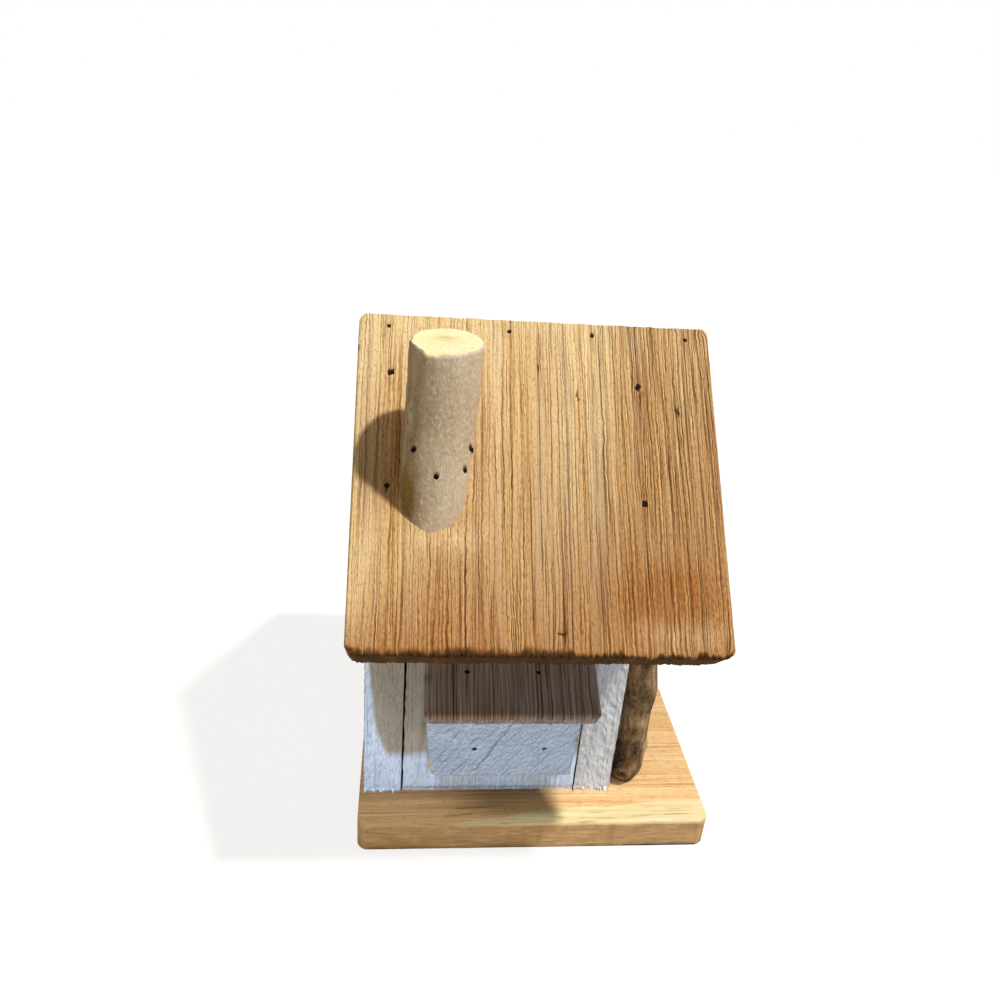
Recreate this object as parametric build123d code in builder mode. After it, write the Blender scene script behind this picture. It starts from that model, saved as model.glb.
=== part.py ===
import os
from math import cos, radians, sin, sqrt, tan

from build123d import *

# Rustic birdhouse of sawn boards and cut branches, in millimetres.
# +X is the front with the porch, +Y is the far side with the swinging wall, +Z is up.

# Base board, which is also the floor
base_thickness = 17.0
base_width = 140.0
base_rear_margin = 2.0
porch_depth = 48.0
base_corner_radius = 5.0
base_edge_radius = 1.5

# Walls: two end walls, with the side walls let in between them
wall_thickness = 19.0
house_length = 127.0
house_width = 96.0
wall_height = 159.0
entrance_diameter = 28.6
entrance_height = 95.0
entrance_chamfer = 1.5

# Swinging side wall, its stop and its latch
door_side_gap = 0.5
door_bottom_gap = 1.0
door_top_gap = 1.0
pivot_drop = 25.0
pivot_clearance = 0.08
pivot_end_gap = 1.0
stop_size = 10.0
stop_end_gap = 1.0
stop_door_gap = 0.4
stop_nail_spacing = 60.0
hook_wire = 2.6
hook_bend_radius = 2.6
hook_arm_length = 22.0
hook_wall_gap = 0.4
hook_depth = 12.0
hook_height = 45.0
hook_clearance = 0.06

# Roof boards
roof_thickness = 19.0
roof_pitch = 45.0
roof_slope_length = 149.5
roof_rear_overhang = 5.0
roof_front_overhang = 24.7
roof_corner_radius = 5.0

# Chimney branch on the near roof board
chimney_from_rear = 31.7
chimney_from_ridge = 54.0
chimney_above_ridge = 5.0
chimney_top_diameter = 29.0
chimney_foot_diameter = 28.0
chimney_top_tilt = 4.0
chimney_lean = 2.8

# Block on the near wall and the little roof on it
bay_thickness = 26.0
bay_bottom_width = 67.0
bay_flare = 4.0
bay_centre_from_rear = 65.0
bay_bottom_height = 35.0
bay_front_height = 34.0
bay_corner_radius = 5.0
awning_pitch = 30.0
awning_thickness = 8.0
awning_width = 80.0
awning_from_rear = 28.0
awning_overhang = 1.5
awning_corner_radius = 3.0

# Porch posts
post_diameter = 21.0
post_flat = 1.0
post_inset = 13.5

# Nails: one size of finishing nail, each head set a little below the surface
nail_diameter = 1.9
nail_head_diameter = 3.0
nail_head_height = 1.2
nail_recess = 0.8
nail_point_length = 3.0
nail_point_diameter = 0.6
nail_clearance = 0.05
nail_cover = 3.0
end_grain_bite = 18.0
awning_nail_bite = 12.0

# Nail places
ridge_nail_drop = 6.3
ridge_nail_distances = (7.9, 60.6, 97.9, 140.6)
rear_roof_nail_drops = (28.5, 79.6)
front_roof_nail_drops = (30.7, 84.6)
far_roof_nail_shift = 4.0
wall_nail_heights = (22.0, 57.0, 128.0)
post_nail_heights = (18.0, 110.0)
awning_nail_distances = (47.3, 80.2)
awning_nail_from_wall = 12.5
bay_nail_distances = (52.3, 84.0)
bay_nail_rise = 16.4
chimney_nail_sides = (-9.8, -0.3, 11.0, 12.6)
chimney_nail_rises = (28.0, 22.0, 17.5, 23.6)

# Base screws
screw_diameter = 4.0
screw_head_diameter = 7.6
screw_head_angle = 90.0
screw_recess = 0.5
screw_bite = 24.0
screw_point_length = 4.0
screw_clearance = 0.05
screw_spacing = 50.0

# Places along X
rear_end = -(roof_rear_overhang + house_length + porch_depth) / 2
house_rear = rear_end + roof_rear_overhang
house_front = house_rear + house_length
house_middle = (house_rear + house_front) / 2
rear_wall_middle = house_rear + wall_thickness / 2
front_wall_middle = house_front - wall_thickness / 2
inner_length = house_length - 2 * wall_thickness
base_length = base_rear_margin + house_length + porch_depth
roof_length = roof_rear_overhang + house_length + roof_front_overhang

# Places across Y and up Z
half_width = house_width / 2
side_wall_middle = half_width - wall_thickness / 2
slope = radians(roof_pitch)
wall_top = base_thickness + wall_height
ridge_under = wall_top + half_width * tan(slope)
ridge_top = ridge_under + roof_thickness / cos(slope)
ridge_seat = ((ridge_top - ridge_under) / (2 * tan(slope)), (ridge_top + ridge_under) / 2)
eave_top_y = roof_slope_length * cos(slope)
eave_top_z = ridge_top - roof_slope_length * sin(slope)
eave_under_y = eave_top_y - roof_thickness * sin(slope)
eave_under_z = eave_top_z - roof_thickness * cos(slope)
hook_z = base_thickness + hook_height

# Planes of the two roof slopes; along the near one local y climbs, along the far one it falls
near_roof_top = Plane((0, 0, ridge_top), x_dir=(1, 0, 0), z_dir=(0, -sin(slope), cos(slope)))
far_roof_top = Plane((0, 0, ridge_top), x_dir=(1, 0, 0), z_dir=(0, sin(slope), cos(slope)))
near_roof_under = near_roof_top.offset(-roof_thickness)

# Plane under the little roof, through the block's upper front edge
awning_slope = radians(awning_pitch)
bay_face_y = -half_width - bay_thickness
bay_bottom_z = base_thickness + bay_bottom_height
bay_front_top_z = bay_bottom_z + bay_front_height
bay_middle = house_rear + bay_centre_from_rear
awning_under = Plane(
    (0, bay_face_y, bay_front_top_z), x_dir=(1, 0, 0), z_dir=(0, -sin(awning_slope), cos(awning_slope))
)
awning_top = awning_under.offset(awning_thickness)

# Chimney axis, through the middle of its top, leaning towards the porch
chimney_x = house_rear + chimney_from_rear
chimney_y = -chimney_from_ridge
chimney_top_z = ridge_top + chimney_above_ridge
lean = radians(chimney_lean)
chimney_axis = Plane(
    (chimney_x, chimney_y, chimney_top_z), x_dir=(cos(lean), 0, -sin(lean)), z_dir=(sin(lean), 0, cos(lean))
)

# Post axis
post_radius = post_diameter / 2
post_x = house_front + post_radius - post_flat
post_y = half_width - post_inset
post_face_x = house_front + post_diameter - post_flat

below = (Align.CENTER, Align.CENTER, Align.MAX)
above = (Align.CENTER, Align.CENTER, Align.MIN)


def roof_top_z(y):
    """Height of the near roof surface at a place y, which is negative on that side."""
    return ridge_top + y * tan(slope)


def spots_on(face, points):
    """Planes at points given in a face's own x and y, each facing out of that face."""
    return [Plane(face.from_local_coords((x, y, 0)), z_dir=face.z_dir) for x, y in points]


def spots_on_end_walls(y, heights):
    """Planes on the outer faces of both end walls, at one y and several heights above the base."""
    rear = [Plane((house_rear, y, base_thickness + h), z_dir=(-1, 0, 0)) for h in heights]
    front = [Plane((house_front, y, base_thickness + h), z_dir=(1, 0, 0)) for h in heights]
    return rear + front


def nails(spots, depth):
    """Nails driven straight in at each spot until the point is at the given depth."""
    shank_top = nail_recess + nail_head_height
    shank_length = depth - shank_top - nail_point_length
    with Locations(*[spot.offset(-nail_recess) for spot in spots]):
        Cylinder(nail_head_diameter / 2, nail_head_height, align=below)
    with Locations(*[spot.offset(-shank_top) for spot in spots]):
        Cylinder(nail_diameter / 2, shank_length, align=below)
    with Locations(*[spot.offset(nail_point_length - depth) for spot in spots]):
        Cone(nail_point_diameter / 2, nail_diameter / 2, nail_point_length, align=below)


def nail_holes(spots, depth, clearance=nail_clearance):
    """The hole that each such nail leaves in the board being made."""
    with Locations(*spots):
        CounterBoreHole(
            nail_diameter / 2 + clearance,
            nail_head_diameter / 2 + clearance,
            nail_recess + nail_head_height,
            depth,
        )


# Where each group of nails goes in, and how deep
near_gable_points = [(rear_wall_middle, -drop) for drop in rear_roof_nail_drops]
near_gable_points += [(front_wall_middle, -drop) for drop in front_roof_nail_drops]
near_roof_spots = spots_on(near_roof_top, near_gable_points)

# The far nails stand nearer to the inside, where they miss the near ones under the ridge
far_gable_points = [(rear_wall_middle + far_roof_nail_shift, drop) for drop in rear_roof_nail_drops]
far_gable_points += [(front_wall_middle - far_roof_nail_shift, drop) for drop in front_roof_nail_drops]
far_roof_spots = spots_on(far_roof_top, far_gable_points)
ridge_spots = spots_on(
    near_roof_top, [(house_rear + distance, -ridge_nail_drop) for distance in ridge_nail_distances]
)
roof_nail_depth = roof_thickness + end_grain_bite

wall_spots = spots_on_end_walls(-side_wall_middle, wall_nail_heights)
pivot_spots = spots_on_end_walls(side_wall_middle, [wall_height - pivot_drop])
wall_nail_depth = wall_thickness + end_grain_bite

bay_spots = [
    Plane((house_rear + distance, bay_face_y, bay_bottom_z + bay_nail_rise), z_dir=(0, -1, 0))
    for distance in bay_nail_distances
]
bay_nail_depth = bay_thickness + wall_thickness - nail_cover

awning_nail_y = -half_width - awning_nail_from_wall
awning_nail_run = (awning_nail_y - awning_top.origin.Y) / cos(awning_slope)
awning_spots = spots_on(
    awning_top, [(house_rear + distance, awning_nail_run) for distance in awning_nail_distances]
)
awning_nail_depth = awning_thickness + awning_nail_bite

post_spots = [
    Plane((post_face_x, side * post_y, base_thickness + height), z_dir=(1, 0, 0))
    for side in (-1, 1)
    for height in post_nail_heights
]
post_nail_depth = post_diameter - post_flat + wall_thickness - nail_cover

chimney_spots = []
chimney_radius = (chimney_top_diameter + chimney_foot_diameter) / 4
for side, nail_rise in zip(chimney_nail_sides, chimney_nail_rises):
    front_y = chimney_y - sqrt(chimney_radius**2 - side**2)
    entry_z = roof_top_z(front_y) + nail_rise
    axis_x = chimney_x - (chimney_top_z - entry_z) * tan(lean)
    chimney_spots.append(Plane((axis_x + side, front_y, entry_z), z_dir=near_roof_top.z_dir))
chimney_nail_depth = min(chimney_nail_rises) * cos(slope) + roof_thickness - nail_cover

stop_middle_y = half_width - wall_thickness - stop_door_gap - stop_size / 2
stop_top = Plane((house_middle, stop_middle_y, base_thickness + stop_size))
stop_spots = spots_on(stop_top, [(-stop_nail_spacing / 2, 0), (stop_nail_spacing / 2, 0)])
stop_nail_depth = stop_size + base_thickness - nail_cover

screw_spots = [
    Plane((x, y, 0), z_dir=(0, 0, -1))
    for x in (rear_wall_middle, front_wall_middle)
    for y in (-screw_spacing / 2, screw_spacing / 2)
]
screw_depth = base_thickness + screw_bite
screw_mouth_radius = screw_head_diameter / 2 + screw_recess * tan(radians(screw_head_angle / 2)) + screw_clearance


def screw_holes():
    """Countersunk holes for the base screws in the board being made."""
    with Locations(*screw_spots):
        CounterSinkHole(
            screw_diameter / 2 + screw_clearance, screw_mouth_radius, screw_depth, screw_head_angle
        )


# Base board with eased edges
with BuildPart() as base_board:
    with BuildSketch():
        with Locations((house_rear - base_rear_margin, 0)):
            Rectangle(base_length, base_width, align=(Align.MIN, Align.CENTER))
    extrude(amount=base_thickness)
    fillet(base_board.edges().filter_by(Axis.Z), base_corner_radius)
    fillet(base_board.faces().sort_by(Axis.Z)[-1].edges(), base_edge_radius)
    screw_holes()
    nail_holes(stop_spots, stop_nail_depth)

# Outline of both end walls
gable_points = (
    (-half_width, base_thickness),
    (half_width, base_thickness),
    (half_width, wall_top),
    (0, ridge_under),
    (-half_width, wall_top),
)

# Rear end wall: one board
with BuildPart() as rear_wall:
    with BuildSketch(Plane.YZ.offset(house_rear)):
        with BuildLine():
            Polyline(*gable_points, close=True)
        make_face()
    extrude(amount=wall_thickness)
    nail_holes(near_roof_spots, roof_nail_depth)
    nail_holes(far_roof_spots, roof_nail_depth)
    nail_holes(wall_spots, wall_nail_depth)
    nail_holes(pivot_spots, wall_nail_depth)
    screw_holes()

# Front end wall: the same outline with the entrance and the latch's hole
hook_spot = Plane((front_wall_middle, half_width, hook_z), z_dir=(0, 1, 0))
with BuildPart() as front_wall:
    with BuildSketch(Plane.YZ.offset(house_front - wall_thickness)):
        with BuildLine():
            Polyline(*gable_points, close=True)
        make_face()
    extrude(amount=wall_thickness)
    with Locations(Plane((house_front, 0, base_thickness + entrance_height), z_dir=(1, 0, 0))):
        Hole(entrance_diameter / 2)
    chamfer(front_wall.edges().filter_by(GeomType.CIRCLE).sort_by(Axis.X)[-1], entrance_chamfer)
    with Locations(hook_spot):
        Hole(hook_wire / 2 + hook_clearance, depth=hook_depth)
    nail_holes(near_roof_spots, roof_nail_depth)
    nail_holes(far_roof_spots, roof_nail_depth)
    nail_holes(wall_spots, wall_nail_depth)
    nail_holes(pivot_spots, wall_nail_depth)
    nail_holes(post_spots, post_nail_depth)
    screw_holes()

# Near side wall, bevelled to the roof along its top
with BuildPart() as near_wall:
    with BuildSketch(Plane.YZ.offset(house_rear + wall_thickness)):
        with BuildLine():
            Polyline(
                (-half_width, base_thickness),
                (wall_thickness - half_width, base_thickness),
                (wall_thickness - half_width, wall_top + wall_thickness * tan(slope)),
                (-half_width, wall_top),
                close=True,
            )
        make_face()
    extrude(amount=inner_length)
    nail_holes(wall_spots, wall_nail_depth)
    nail_holes(bay_spots, bay_nail_depth)

# Far side wall, cut short of its neighbours so that it swings out for cleaning
door_bottom = base_thickness + door_bottom_gap
door_height = wall_height - door_bottom_gap - door_top_gap
with BuildPart() as cleanout_wall:
    with BuildSketch(Plane.XY.offset(door_bottom)):
        with Locations((house_middle, side_wall_middle)):
            Rectangle(inner_length - 2 * door_side_gap, wall_thickness)
    extrude(amount=door_height)
    nail_holes(pivot_spots, wall_nail_depth + pivot_end_gap, pivot_clearance)

# Cleat on the floor behind the swinging wall
with BuildPart() as door_stop:
    with BuildSketch(Plane.XY.offset(base_thickness)):
        with Locations((house_middle, stop_middle_y)):
            Rectangle(inner_length - 2 * stop_end_gap, stop_size)
    extrude(amount=stop_size)
    nail_holes(stop_spots, stop_nail_depth)

# Square-bend hook in the far edge of the front wall, its arm hanging clear of the swinging wall
hook_arm_y = half_width + hook_wall_gap + hook_bend_radius
with BuildPart() as latch_hook:
    with BuildLine(Plane.YZ.offset(front_wall_middle)) as hook_line:
        FilletPolyline(
            (half_width - hook_depth, hook_z),
            (hook_arm_y, hook_z),
            (hook_arm_y, hook_z - hook_arm_length),
            radius=hook_bend_radius,
        )
    with BuildSketch(Plane(hook_line.line @ 0, z_dir=hook_line.line % 0)):
        Circle(hook_wire / 2)
    sweep()

# Near roof board, which runs over the end of the far one at the ridge
with BuildPart() as near_roof_board:
    with BuildSketch(Plane.YZ.offset(rear_end)):
        with BuildLine():
            Polyline(
                (-eave_under_y, eave_under_z),
                (-eave_top_y, eave_top_z),
                (0, ridge_top),
                ridge_seat,
                close=True,
            )
        make_face()
    extrude(amount=roof_length)
    eave_corners = near_roof_board.edges().filter_by(Axis((0, 0, 0), near_roof_top.z_dir)).sort_by(Axis.Z)[:2]
    fillet(eave_corners, roof_corner_radius)
    nail_holes(near_roof_spots, roof_nail_depth)
    nail_holes(ridge_spots, roof_nail_depth)
    nail_holes(chimney_spots, chimney_nail_depth)

# Far roof board, butted under the near one
with BuildPart() as far_roof_board:
    with BuildSketch(Plane.YZ.offset(rear_end)):
        with BuildLine():
            Polyline(
                (eave_under_y, eave_under_z),
                (eave_top_y, eave_top_z),
                ridge_seat,
                (0, ridge_under),
                close=True,
            )
        make_face()
    extrude(amount=roof_length)
    eave_corners = far_roof_board.edges().filter_by(Axis((0, 0, 0), far_roof_top.z_dir)).sort_by(Axis.Z)[:2]
    fillet(eave_corners, roof_corner_radius)
    nail_holes(far_roof_spots, roof_nail_depth)
    nail_holes(ridge_spots, roof_nail_depth)

# Chimney: a peeled branch, cut to the roof slope at its foot and a little askew on top
chimney_foot_z = roof_top_z(chimney_y - chimney_foot_diameter / 2)
chimney_top_face = Plane(
    (chimney_x, chimney_y, chimney_top_z),
    x_dir=(1, 0, 0),
    z_dir=(0, -sin(radians(chimney_top_tilt)), cos(radians(chimney_top_tilt))),
)
chimney_length = (chimney_top_z - chimney_foot_z) / cos(lean) + 2 * chimney_top_diameter
with BuildPart() as chimney:
    with Locations(chimney_axis.offset(chimney_top_diameter)):
        Cone(chimney_foot_diameter / 2, chimney_top_diameter / 2, chimney_length, align=below)
    split(bisect_by=chimney_top_face, keep=Keep.BOTTOM)
    split(bisect_by=near_roof_top, keep=Keep.TOP)
    nail_holes(chimney_spots, chimney_nail_depth)

# Block on the near wall, flared upwards, with its top cut to the little roof
bay_top_z = bay_front_top_z + bay_thickness * tan(awning_slope)
bay_top_width = bay_bottom_width + 2 * (bay_top_z - bay_bottom_z) * tan(radians(bay_flare))
with BuildPart() as bay_block:
    with BuildSketch(Plane.XZ.offset(half_width)):
        with BuildLine():
            Polyline(
                (bay_middle - bay_bottom_width / 2, bay_bottom_z),
                (bay_middle + bay_bottom_width / 2, bay_bottom_z),
                (bay_middle + bay_top_width / 2, bay_top_z),
                (bay_middle - bay_top_width / 2, bay_top_z),
                close=True,
            )
        make_face()
    extrude(amount=bay_thickness)
    split(bisect_by=awning_under, keep=Keep.BOTTOM)
    lower_rear_corner = bay_block.edges().filter_by(Axis.Y).group_by(Axis.Z)[0].sort_by(Axis.X)[0]
    fillet(lower_rear_corner, bay_corner_radius)
    nail_holes(bay_spots, bay_nail_depth)
    nail_holes(awning_spots, awning_nail_depth)

# Little roof on the block, its upper end cut plumb against the wall
awning_front_y = bay_face_y - awning_overhang
awning_front_z = bay_front_top_z - awning_overhang * tan(awning_slope)
awning_lip_y = awning_front_y - awning_thickness * sin(awning_slope)
awning_lip_z = awning_front_z + awning_thickness * cos(awning_slope)
with BuildPart() as awning_board:
    with BuildSketch(Plane.YZ.offset(house_rear + awning_from_rear)):
        with BuildLine():
            Polyline(
                (awning_front_y, awning_front_z),
                (awning_lip_y, awning_lip_z),
                (-half_width, awning_lip_z - (half_width + awning_lip_y) * tan(awning_slope)),
                (-half_width, bay_top_z),
                close=True,
            )
        make_face()
    extrude(amount=awning_width)
    lip_corners = awning_board.edges().filter_by(Axis((0, 0, 0), awning_top.z_dir)).sort_by(Axis.Y)[:2]
    fillet(lip_corners, awning_corner_radius)
    nail_holes(awning_spots, awning_nail_depth)

# Near post: a branch with a flat against the front wall, cut to the roof's underside
with BuildPart() as near_post:
    with Locations((post_x, -post_y, base_thickness)):
        Cylinder(post_radius, ridge_under - base_thickness, align=above)
    split(bisect_by=Plane((house_front, 0, 0), z_dir=(1, 0, 0)), keep=Keep.TOP)
    split(bisect_by=near_roof_under, keep=Keep.BOTTOM)
    nail_holes(post_spots, post_nail_depth)

# Far post, the near one's mirror image
with BuildPart() as far_post:
    mirror(near_post.part, about=Plane.XZ)

# Nails
with BuildPart() as ridge_nails:
    nails(ridge_spots, roof_nail_depth)

with BuildPart() as near_roof_nails:
    nails(near_roof_spots, roof_nail_depth)

with BuildPart() as far_roof_nails:
    nails(far_roof_spots, roof_nail_depth)

with BuildPart() as wall_nails:
    nails(wall_spots, wall_nail_depth)

with BuildPart() as pivot_nails:
    nails(pivot_spots, wall_nail_depth)

with BuildPart() as bay_nails:
    nails(bay_spots, bay_nail_depth)

with BuildPart() as awning_nails:
    nails(awning_spots, awning_nail_depth)

with BuildPart() as post_nails:
    nails(post_spots, post_nail_depth)

with BuildPart() as chimney_nails:
    nails(chimney_spots, chimney_nail_depth)

with BuildPart() as stop_nails:
    nails(stop_spots, stop_nail_depth)

# Base screws with countersunk heads
screw_head_height = (screw_head_diameter - screw_diameter) / 2 / tan(radians(screw_head_angle / 2))
screw_shank_length = screw_depth - screw_recess - screw_head_height - screw_point_length
with BuildPart() as base_screws:
    with Locations(*[spot.offset(-screw_recess) for spot in screw_spots]):
        Cone(screw_diameter / 2, screw_head_diameter / 2, screw_head_height, align=below)
    with Locations(*[spot.offset(-screw_recess - screw_head_height) for spot in screw_spots]):
        Cylinder(screw_diameter / 2, screw_shank_length, align=below)
    with Locations(*[spot.offset(screw_point_length - screw_depth) for spot in screw_spots]):
        Cone(nail_point_diameter / 2, screw_diameter / 2, screw_point_length, align=below)

pieces = {
    "base_board": base_board,
    "rear_wall": rear_wall,
    "front_wall": front_wall,
    "near_wall": near_wall,
    "cleanout_wall": cleanout_wall,
    "door_stop": door_stop,
    "latch_hook": latch_hook,
    "near_roof_board": near_roof_board,
    "far_roof_board": far_roof_board,
    "chimney": chimney,
    "bay_block": bay_block,
    "awning_board": awning_board,
    "near_post": near_post,
    "far_post": far_post,
    "ridge_nails": ridge_nails,
    "near_roof_nails": near_roof_nails,
    "far_roof_nails": far_roof_nails,
    "wall_nails": wall_nails,
    "pivot_nails": pivot_nails,
    "bay_nails": bay_nails,
    "awning_nails": awning_nails,
    "post_nails": post_nails,
    "chimney_nails": chimney_nails,
    "stop_nails": stop_nails,
    "base_screws": base_screws,
}

os.makedirs("parts", exist_ok=True)
for name, piece in pieces.items():
    piece.part.label = name
    export_step(piece.part, f"parts/{name}.step")
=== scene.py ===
# %% [markdown]
# # A rustic birdhouse of sawn boards and branches
# The birdhouse comes from the CAD program as plain solids: boards with sharp edges and round sticks. On the
# real one every board is rough-sawn, painted or weathered, and every edge is knocked about. In this lesson
# each wooden solid is rebuilt as a finer mesh in the same place, and the nails, screws and hook stay as they
# are and only get a finish.

# %% Load the frame
import math

import bpy
import numpy as np
from mathutils import Matrix, Vector


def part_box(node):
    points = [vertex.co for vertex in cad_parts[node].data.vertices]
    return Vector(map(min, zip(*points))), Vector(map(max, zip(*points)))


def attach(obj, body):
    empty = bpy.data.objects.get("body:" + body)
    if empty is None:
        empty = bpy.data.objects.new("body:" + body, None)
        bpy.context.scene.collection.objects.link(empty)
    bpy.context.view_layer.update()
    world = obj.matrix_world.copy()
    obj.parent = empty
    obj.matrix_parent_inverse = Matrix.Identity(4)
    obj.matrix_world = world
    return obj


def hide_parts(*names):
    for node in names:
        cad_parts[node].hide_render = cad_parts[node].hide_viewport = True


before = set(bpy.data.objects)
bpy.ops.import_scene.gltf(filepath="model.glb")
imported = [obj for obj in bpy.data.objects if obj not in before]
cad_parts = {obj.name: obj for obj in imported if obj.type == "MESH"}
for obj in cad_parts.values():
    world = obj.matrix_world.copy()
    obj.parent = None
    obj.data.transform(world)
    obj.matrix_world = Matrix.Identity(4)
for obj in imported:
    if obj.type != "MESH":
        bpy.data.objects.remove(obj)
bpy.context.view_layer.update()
print("CAD nodes:", len(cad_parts))

# %% [markdown]
# ## Reading places from the frame
# A wooden piece takes its size and place from the box of its CAD node, so nothing is measured twice.
# The sizes here are in millimetres, because a joiner thinks in them; Blender itself works in metres.

# %% Boxes in millimetres
MM = 1000.0


def node_box(node):
    """Lowest and highest corner of a CAD node in millimetres."""
    low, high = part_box(node)
    return np.array(low) * MM, np.array(high) * MM


base_low, base_high = node_box("base_board")
print("base from", base_low.round(1), "to", base_high.round(1))

# %% [markdown]
# ## The camera
# The photograph was taken from above and close by, so its perspective is strong. The camera's place, in
# metres, and its yaw, pitch and roll were found by matching the corners of the boards. Turning the camera
# about Z, then X, then its own view axis gives the same angles without any target object.

# %% Camera
EYE = Vector((-0.06816, -0.38096, 0.35386))
YAW, PITCH, ROLL = math.radians(-6.953), math.radians(26.72), math.radians(4.722)
LENS, SENSOR = 31.524, 36.0

camera_data = bpy.data.cameras.new("Camera")
camera_data.lens = LENS
camera_data.sensor_width = SENSOR
camera = bpy.data.objects.new("Camera", camera_data)
bpy.context.scene.collection.objects.link(camera)
tilt = Matrix.Rotation(math.pi / 2 - PITCH, 4, "X")
camera.matrix_world = (
    Matrix.Translation(EYE) @ Matrix.Rotation(YAW, 4, "Z") @ tilt @ Matrix.Rotation(ROLL, 4, "Z")
)
bpy.context.scene.camera = camera
print("camera at", tuple(round(c, 3) for c in EYE))

# %% [markdown]
# ## Small tools for node trees
# The world, the floor and every finish are trees of nodes. Each helper adds one node and feeds its inputs, so
# that a tree reads as a short recipe.

# %% Node helpers


def linear(code):
    """Linear colour of a hexadecimal screen colour."""
    parts = [int(code[i : i + 2], 16) / 255 for i in (1, 3, 5)]
    return tuple(p / 12.92 if p <= 0.04045 else ((p + 0.055) / 1.055) ** 2.4 for p in parts) + (1.0,)


class Nodes:
    """A node tree, with short names for what it is made of."""

    def __init__(self, tree):
        self.nodes, self.links = tree.nodes, tree.links

    def feed(self, socket, value):
        """Gives an input the output of another node, a hexadecimal colour or a plain value."""
        if isinstance(value, bpy.types.NodeSocket):
            self.links.new(value, socket)
        else:
            socket.default_value = linear(value) if isinstance(value, str) else value

    def add(self, kind, inputs=None, **settings):
        """A new node with its settings made and its inputs fed."""
        node = self.nodes.new("ShaderNode" + kind)
        for name, value in settings.items():
            setattr(node, name, value)
        for key, value in (inputs or {}).items():
            self.feed(node.inputs[key], value)
        return node

    def sum(self, first, second, operation="ADD"):
        """Two values added or otherwise joined; a product is kept between 0 and 1."""
        clamp = operation == "MULTIPLY"
        return self.add("Math", {0: first, 1: second}, operation=operation, use_clamp=clamp).outputs[0]

    def times(self, first, second):
        return self.sum(first, second, "MULTIPLY")

    def span(self, value, low, high, to_low=0.0, to_high=1.0):
        """A value carried over from one range to another."""
        ranges = {"From Min": low, "From Max": high, "To Min": to_low, "To Max": to_high}
        return self.add("MapRange", {"Value": value, **ranges}).outputs["Result"]

    def mix(self, share, first, second, blend="MIX"):
        """A share of the second colour over the first."""
        return self.add("Mix", {0: share, 6: first, 7: second}, data_type="RGBA", blend_type=blend).outputs[2]


# %% [markdown]
# ## Floor and light
# The house stands on a plain white floor. A warm lamp high on the right throws the chimney's shadow to the
# left, as in the photograph. Two cooler lamps in front are later linked to the painted walls only, and a weak
# one to the base and the front. The world adds an even warm fill, and shows itself as plain white to the
# camera and in reflections.

# %% Lamps
bpy.context.scene.view_settings.view_transform = "Standard"


def lamp(name, travel, strength, colour, softness):
    """A sun lamp whose light travels along a direction; softness is its width in degrees."""
    data = bpy.data.lights.new(name, "SUN")
    data.energy = strength
    data.color = linear(colour)[:3]
    data.angle = math.radians(softness)
    sun = bpy.data.objects.new(name, data)
    bpy.context.scene.collection.objects.link(sun)
    sun.rotation_euler = Vector(travel).to_track_quat("-Z", "Y").to_euler()
    return sun


KEY_TRAVEL, LOW_TRAVEL, FILL_TRAVEL = (-1.3, 0.587, -2.91), (0.255, 1.0, -1.825), (0.3, 0.52, -1.0)
key_lamp = lamp("Key", KEY_TRAVEL, 3.7, "#FFF7EA", 3.0)
low_lamp = lamp("Low", LOW_TRAVEL, 5.4, "#B6D7FF", 1.6)
edge_lamp = lamp("Edge", LOW_TRAVEL, 2.1, "#A8D0FF", 1.6)
fill_lamp = lamp("Fill", FILL_TRAVEL, 1.3, "#FFF4E6", 25.0)
print("lamps:", [sun.name for sun in (key_lamp, low_lamp, edge_lamp, fill_lamp)])

# %% World and floor
WORLD_FILL, WORLD_WARM = 0.24, "#FFF3DF"
FLOOR_SIZE, FLOOR_DROP, FLOOR_TONE = 8.0, 0.0002, (0.6, 0.58, 0.54, 1.0)
FLOOR_SHARE, FLOOR_GLOW = 0.7, 1.2

world = bpy.data.worlds.new("Studio")
world.use_nodes = True
bpy.context.scene.world = world
sky = Nodes(world.node_tree)
rays = sky.add("LightPath").outputs
seen = sky.sum(rays["Is Camera Ray"], rays["Is Glossy Ray"], "MAXIMUM")
seen = sky.sum(seen, rays["Is Transmission Ray"], "MAXIMUM")
backdrop = sky.nodes["Background"].inputs
sky.feed(backdrop["Strength"], sky.span(seen, 0.0, 1.0, WORLD_FILL, 1.0))
sky.feed(backdrop["Color"], sky.mix(seen, WORLD_WARM, "#FFFFFF"))

bpy.ops.object.select_all(action="DESELECT")
bpy.ops.mesh.primitive_plane_add(size=FLOOR_SIZE, location=(0, 0, -FLOOR_DROP))
floor = bpy.context.object
floor.name = "floor"
floor_white = bpy.data.materials.new("floor_white")
floor_white.use_nodes = True
ground = Nodes(floor_white.node_tree)
matt = ground.nodes["Principled BSDF"]
ground.feed(matt.inputs["Base Color"], FLOOR_TONE)
ground.feed(matt.inputs["Roughness"], 0.9)
glow = ground.add("Emission", {"Strength": FLOOR_GLOW})
glow_share = ground.times(ground.add("LightPath").outputs["Is Camera Ray"], FLOOR_SHARE)
both = ground.add("MixShader", {0: glow_share, 1: matt.outputs["BSDF"], 2: glow.outputs["Emission"]})
ground.feed(ground.nodes["Material Output"].inputs["Surface"], both.outputs["Shader"])
floor.data.materials.append(floor_white)
print("floor", FLOOR_SIZE, "m wide")

# %% [markdown]
# ## Building a board
# A sawn board starts as a grid, extruded layer by layer to its thickness and closed below with one face.
# The grid's rows and columns are then slid to where detail is wanted: close together at the rims and around
# nail holes, wide apart elsewhere. A cube with even subdivisions would need many times the faces.

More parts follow.
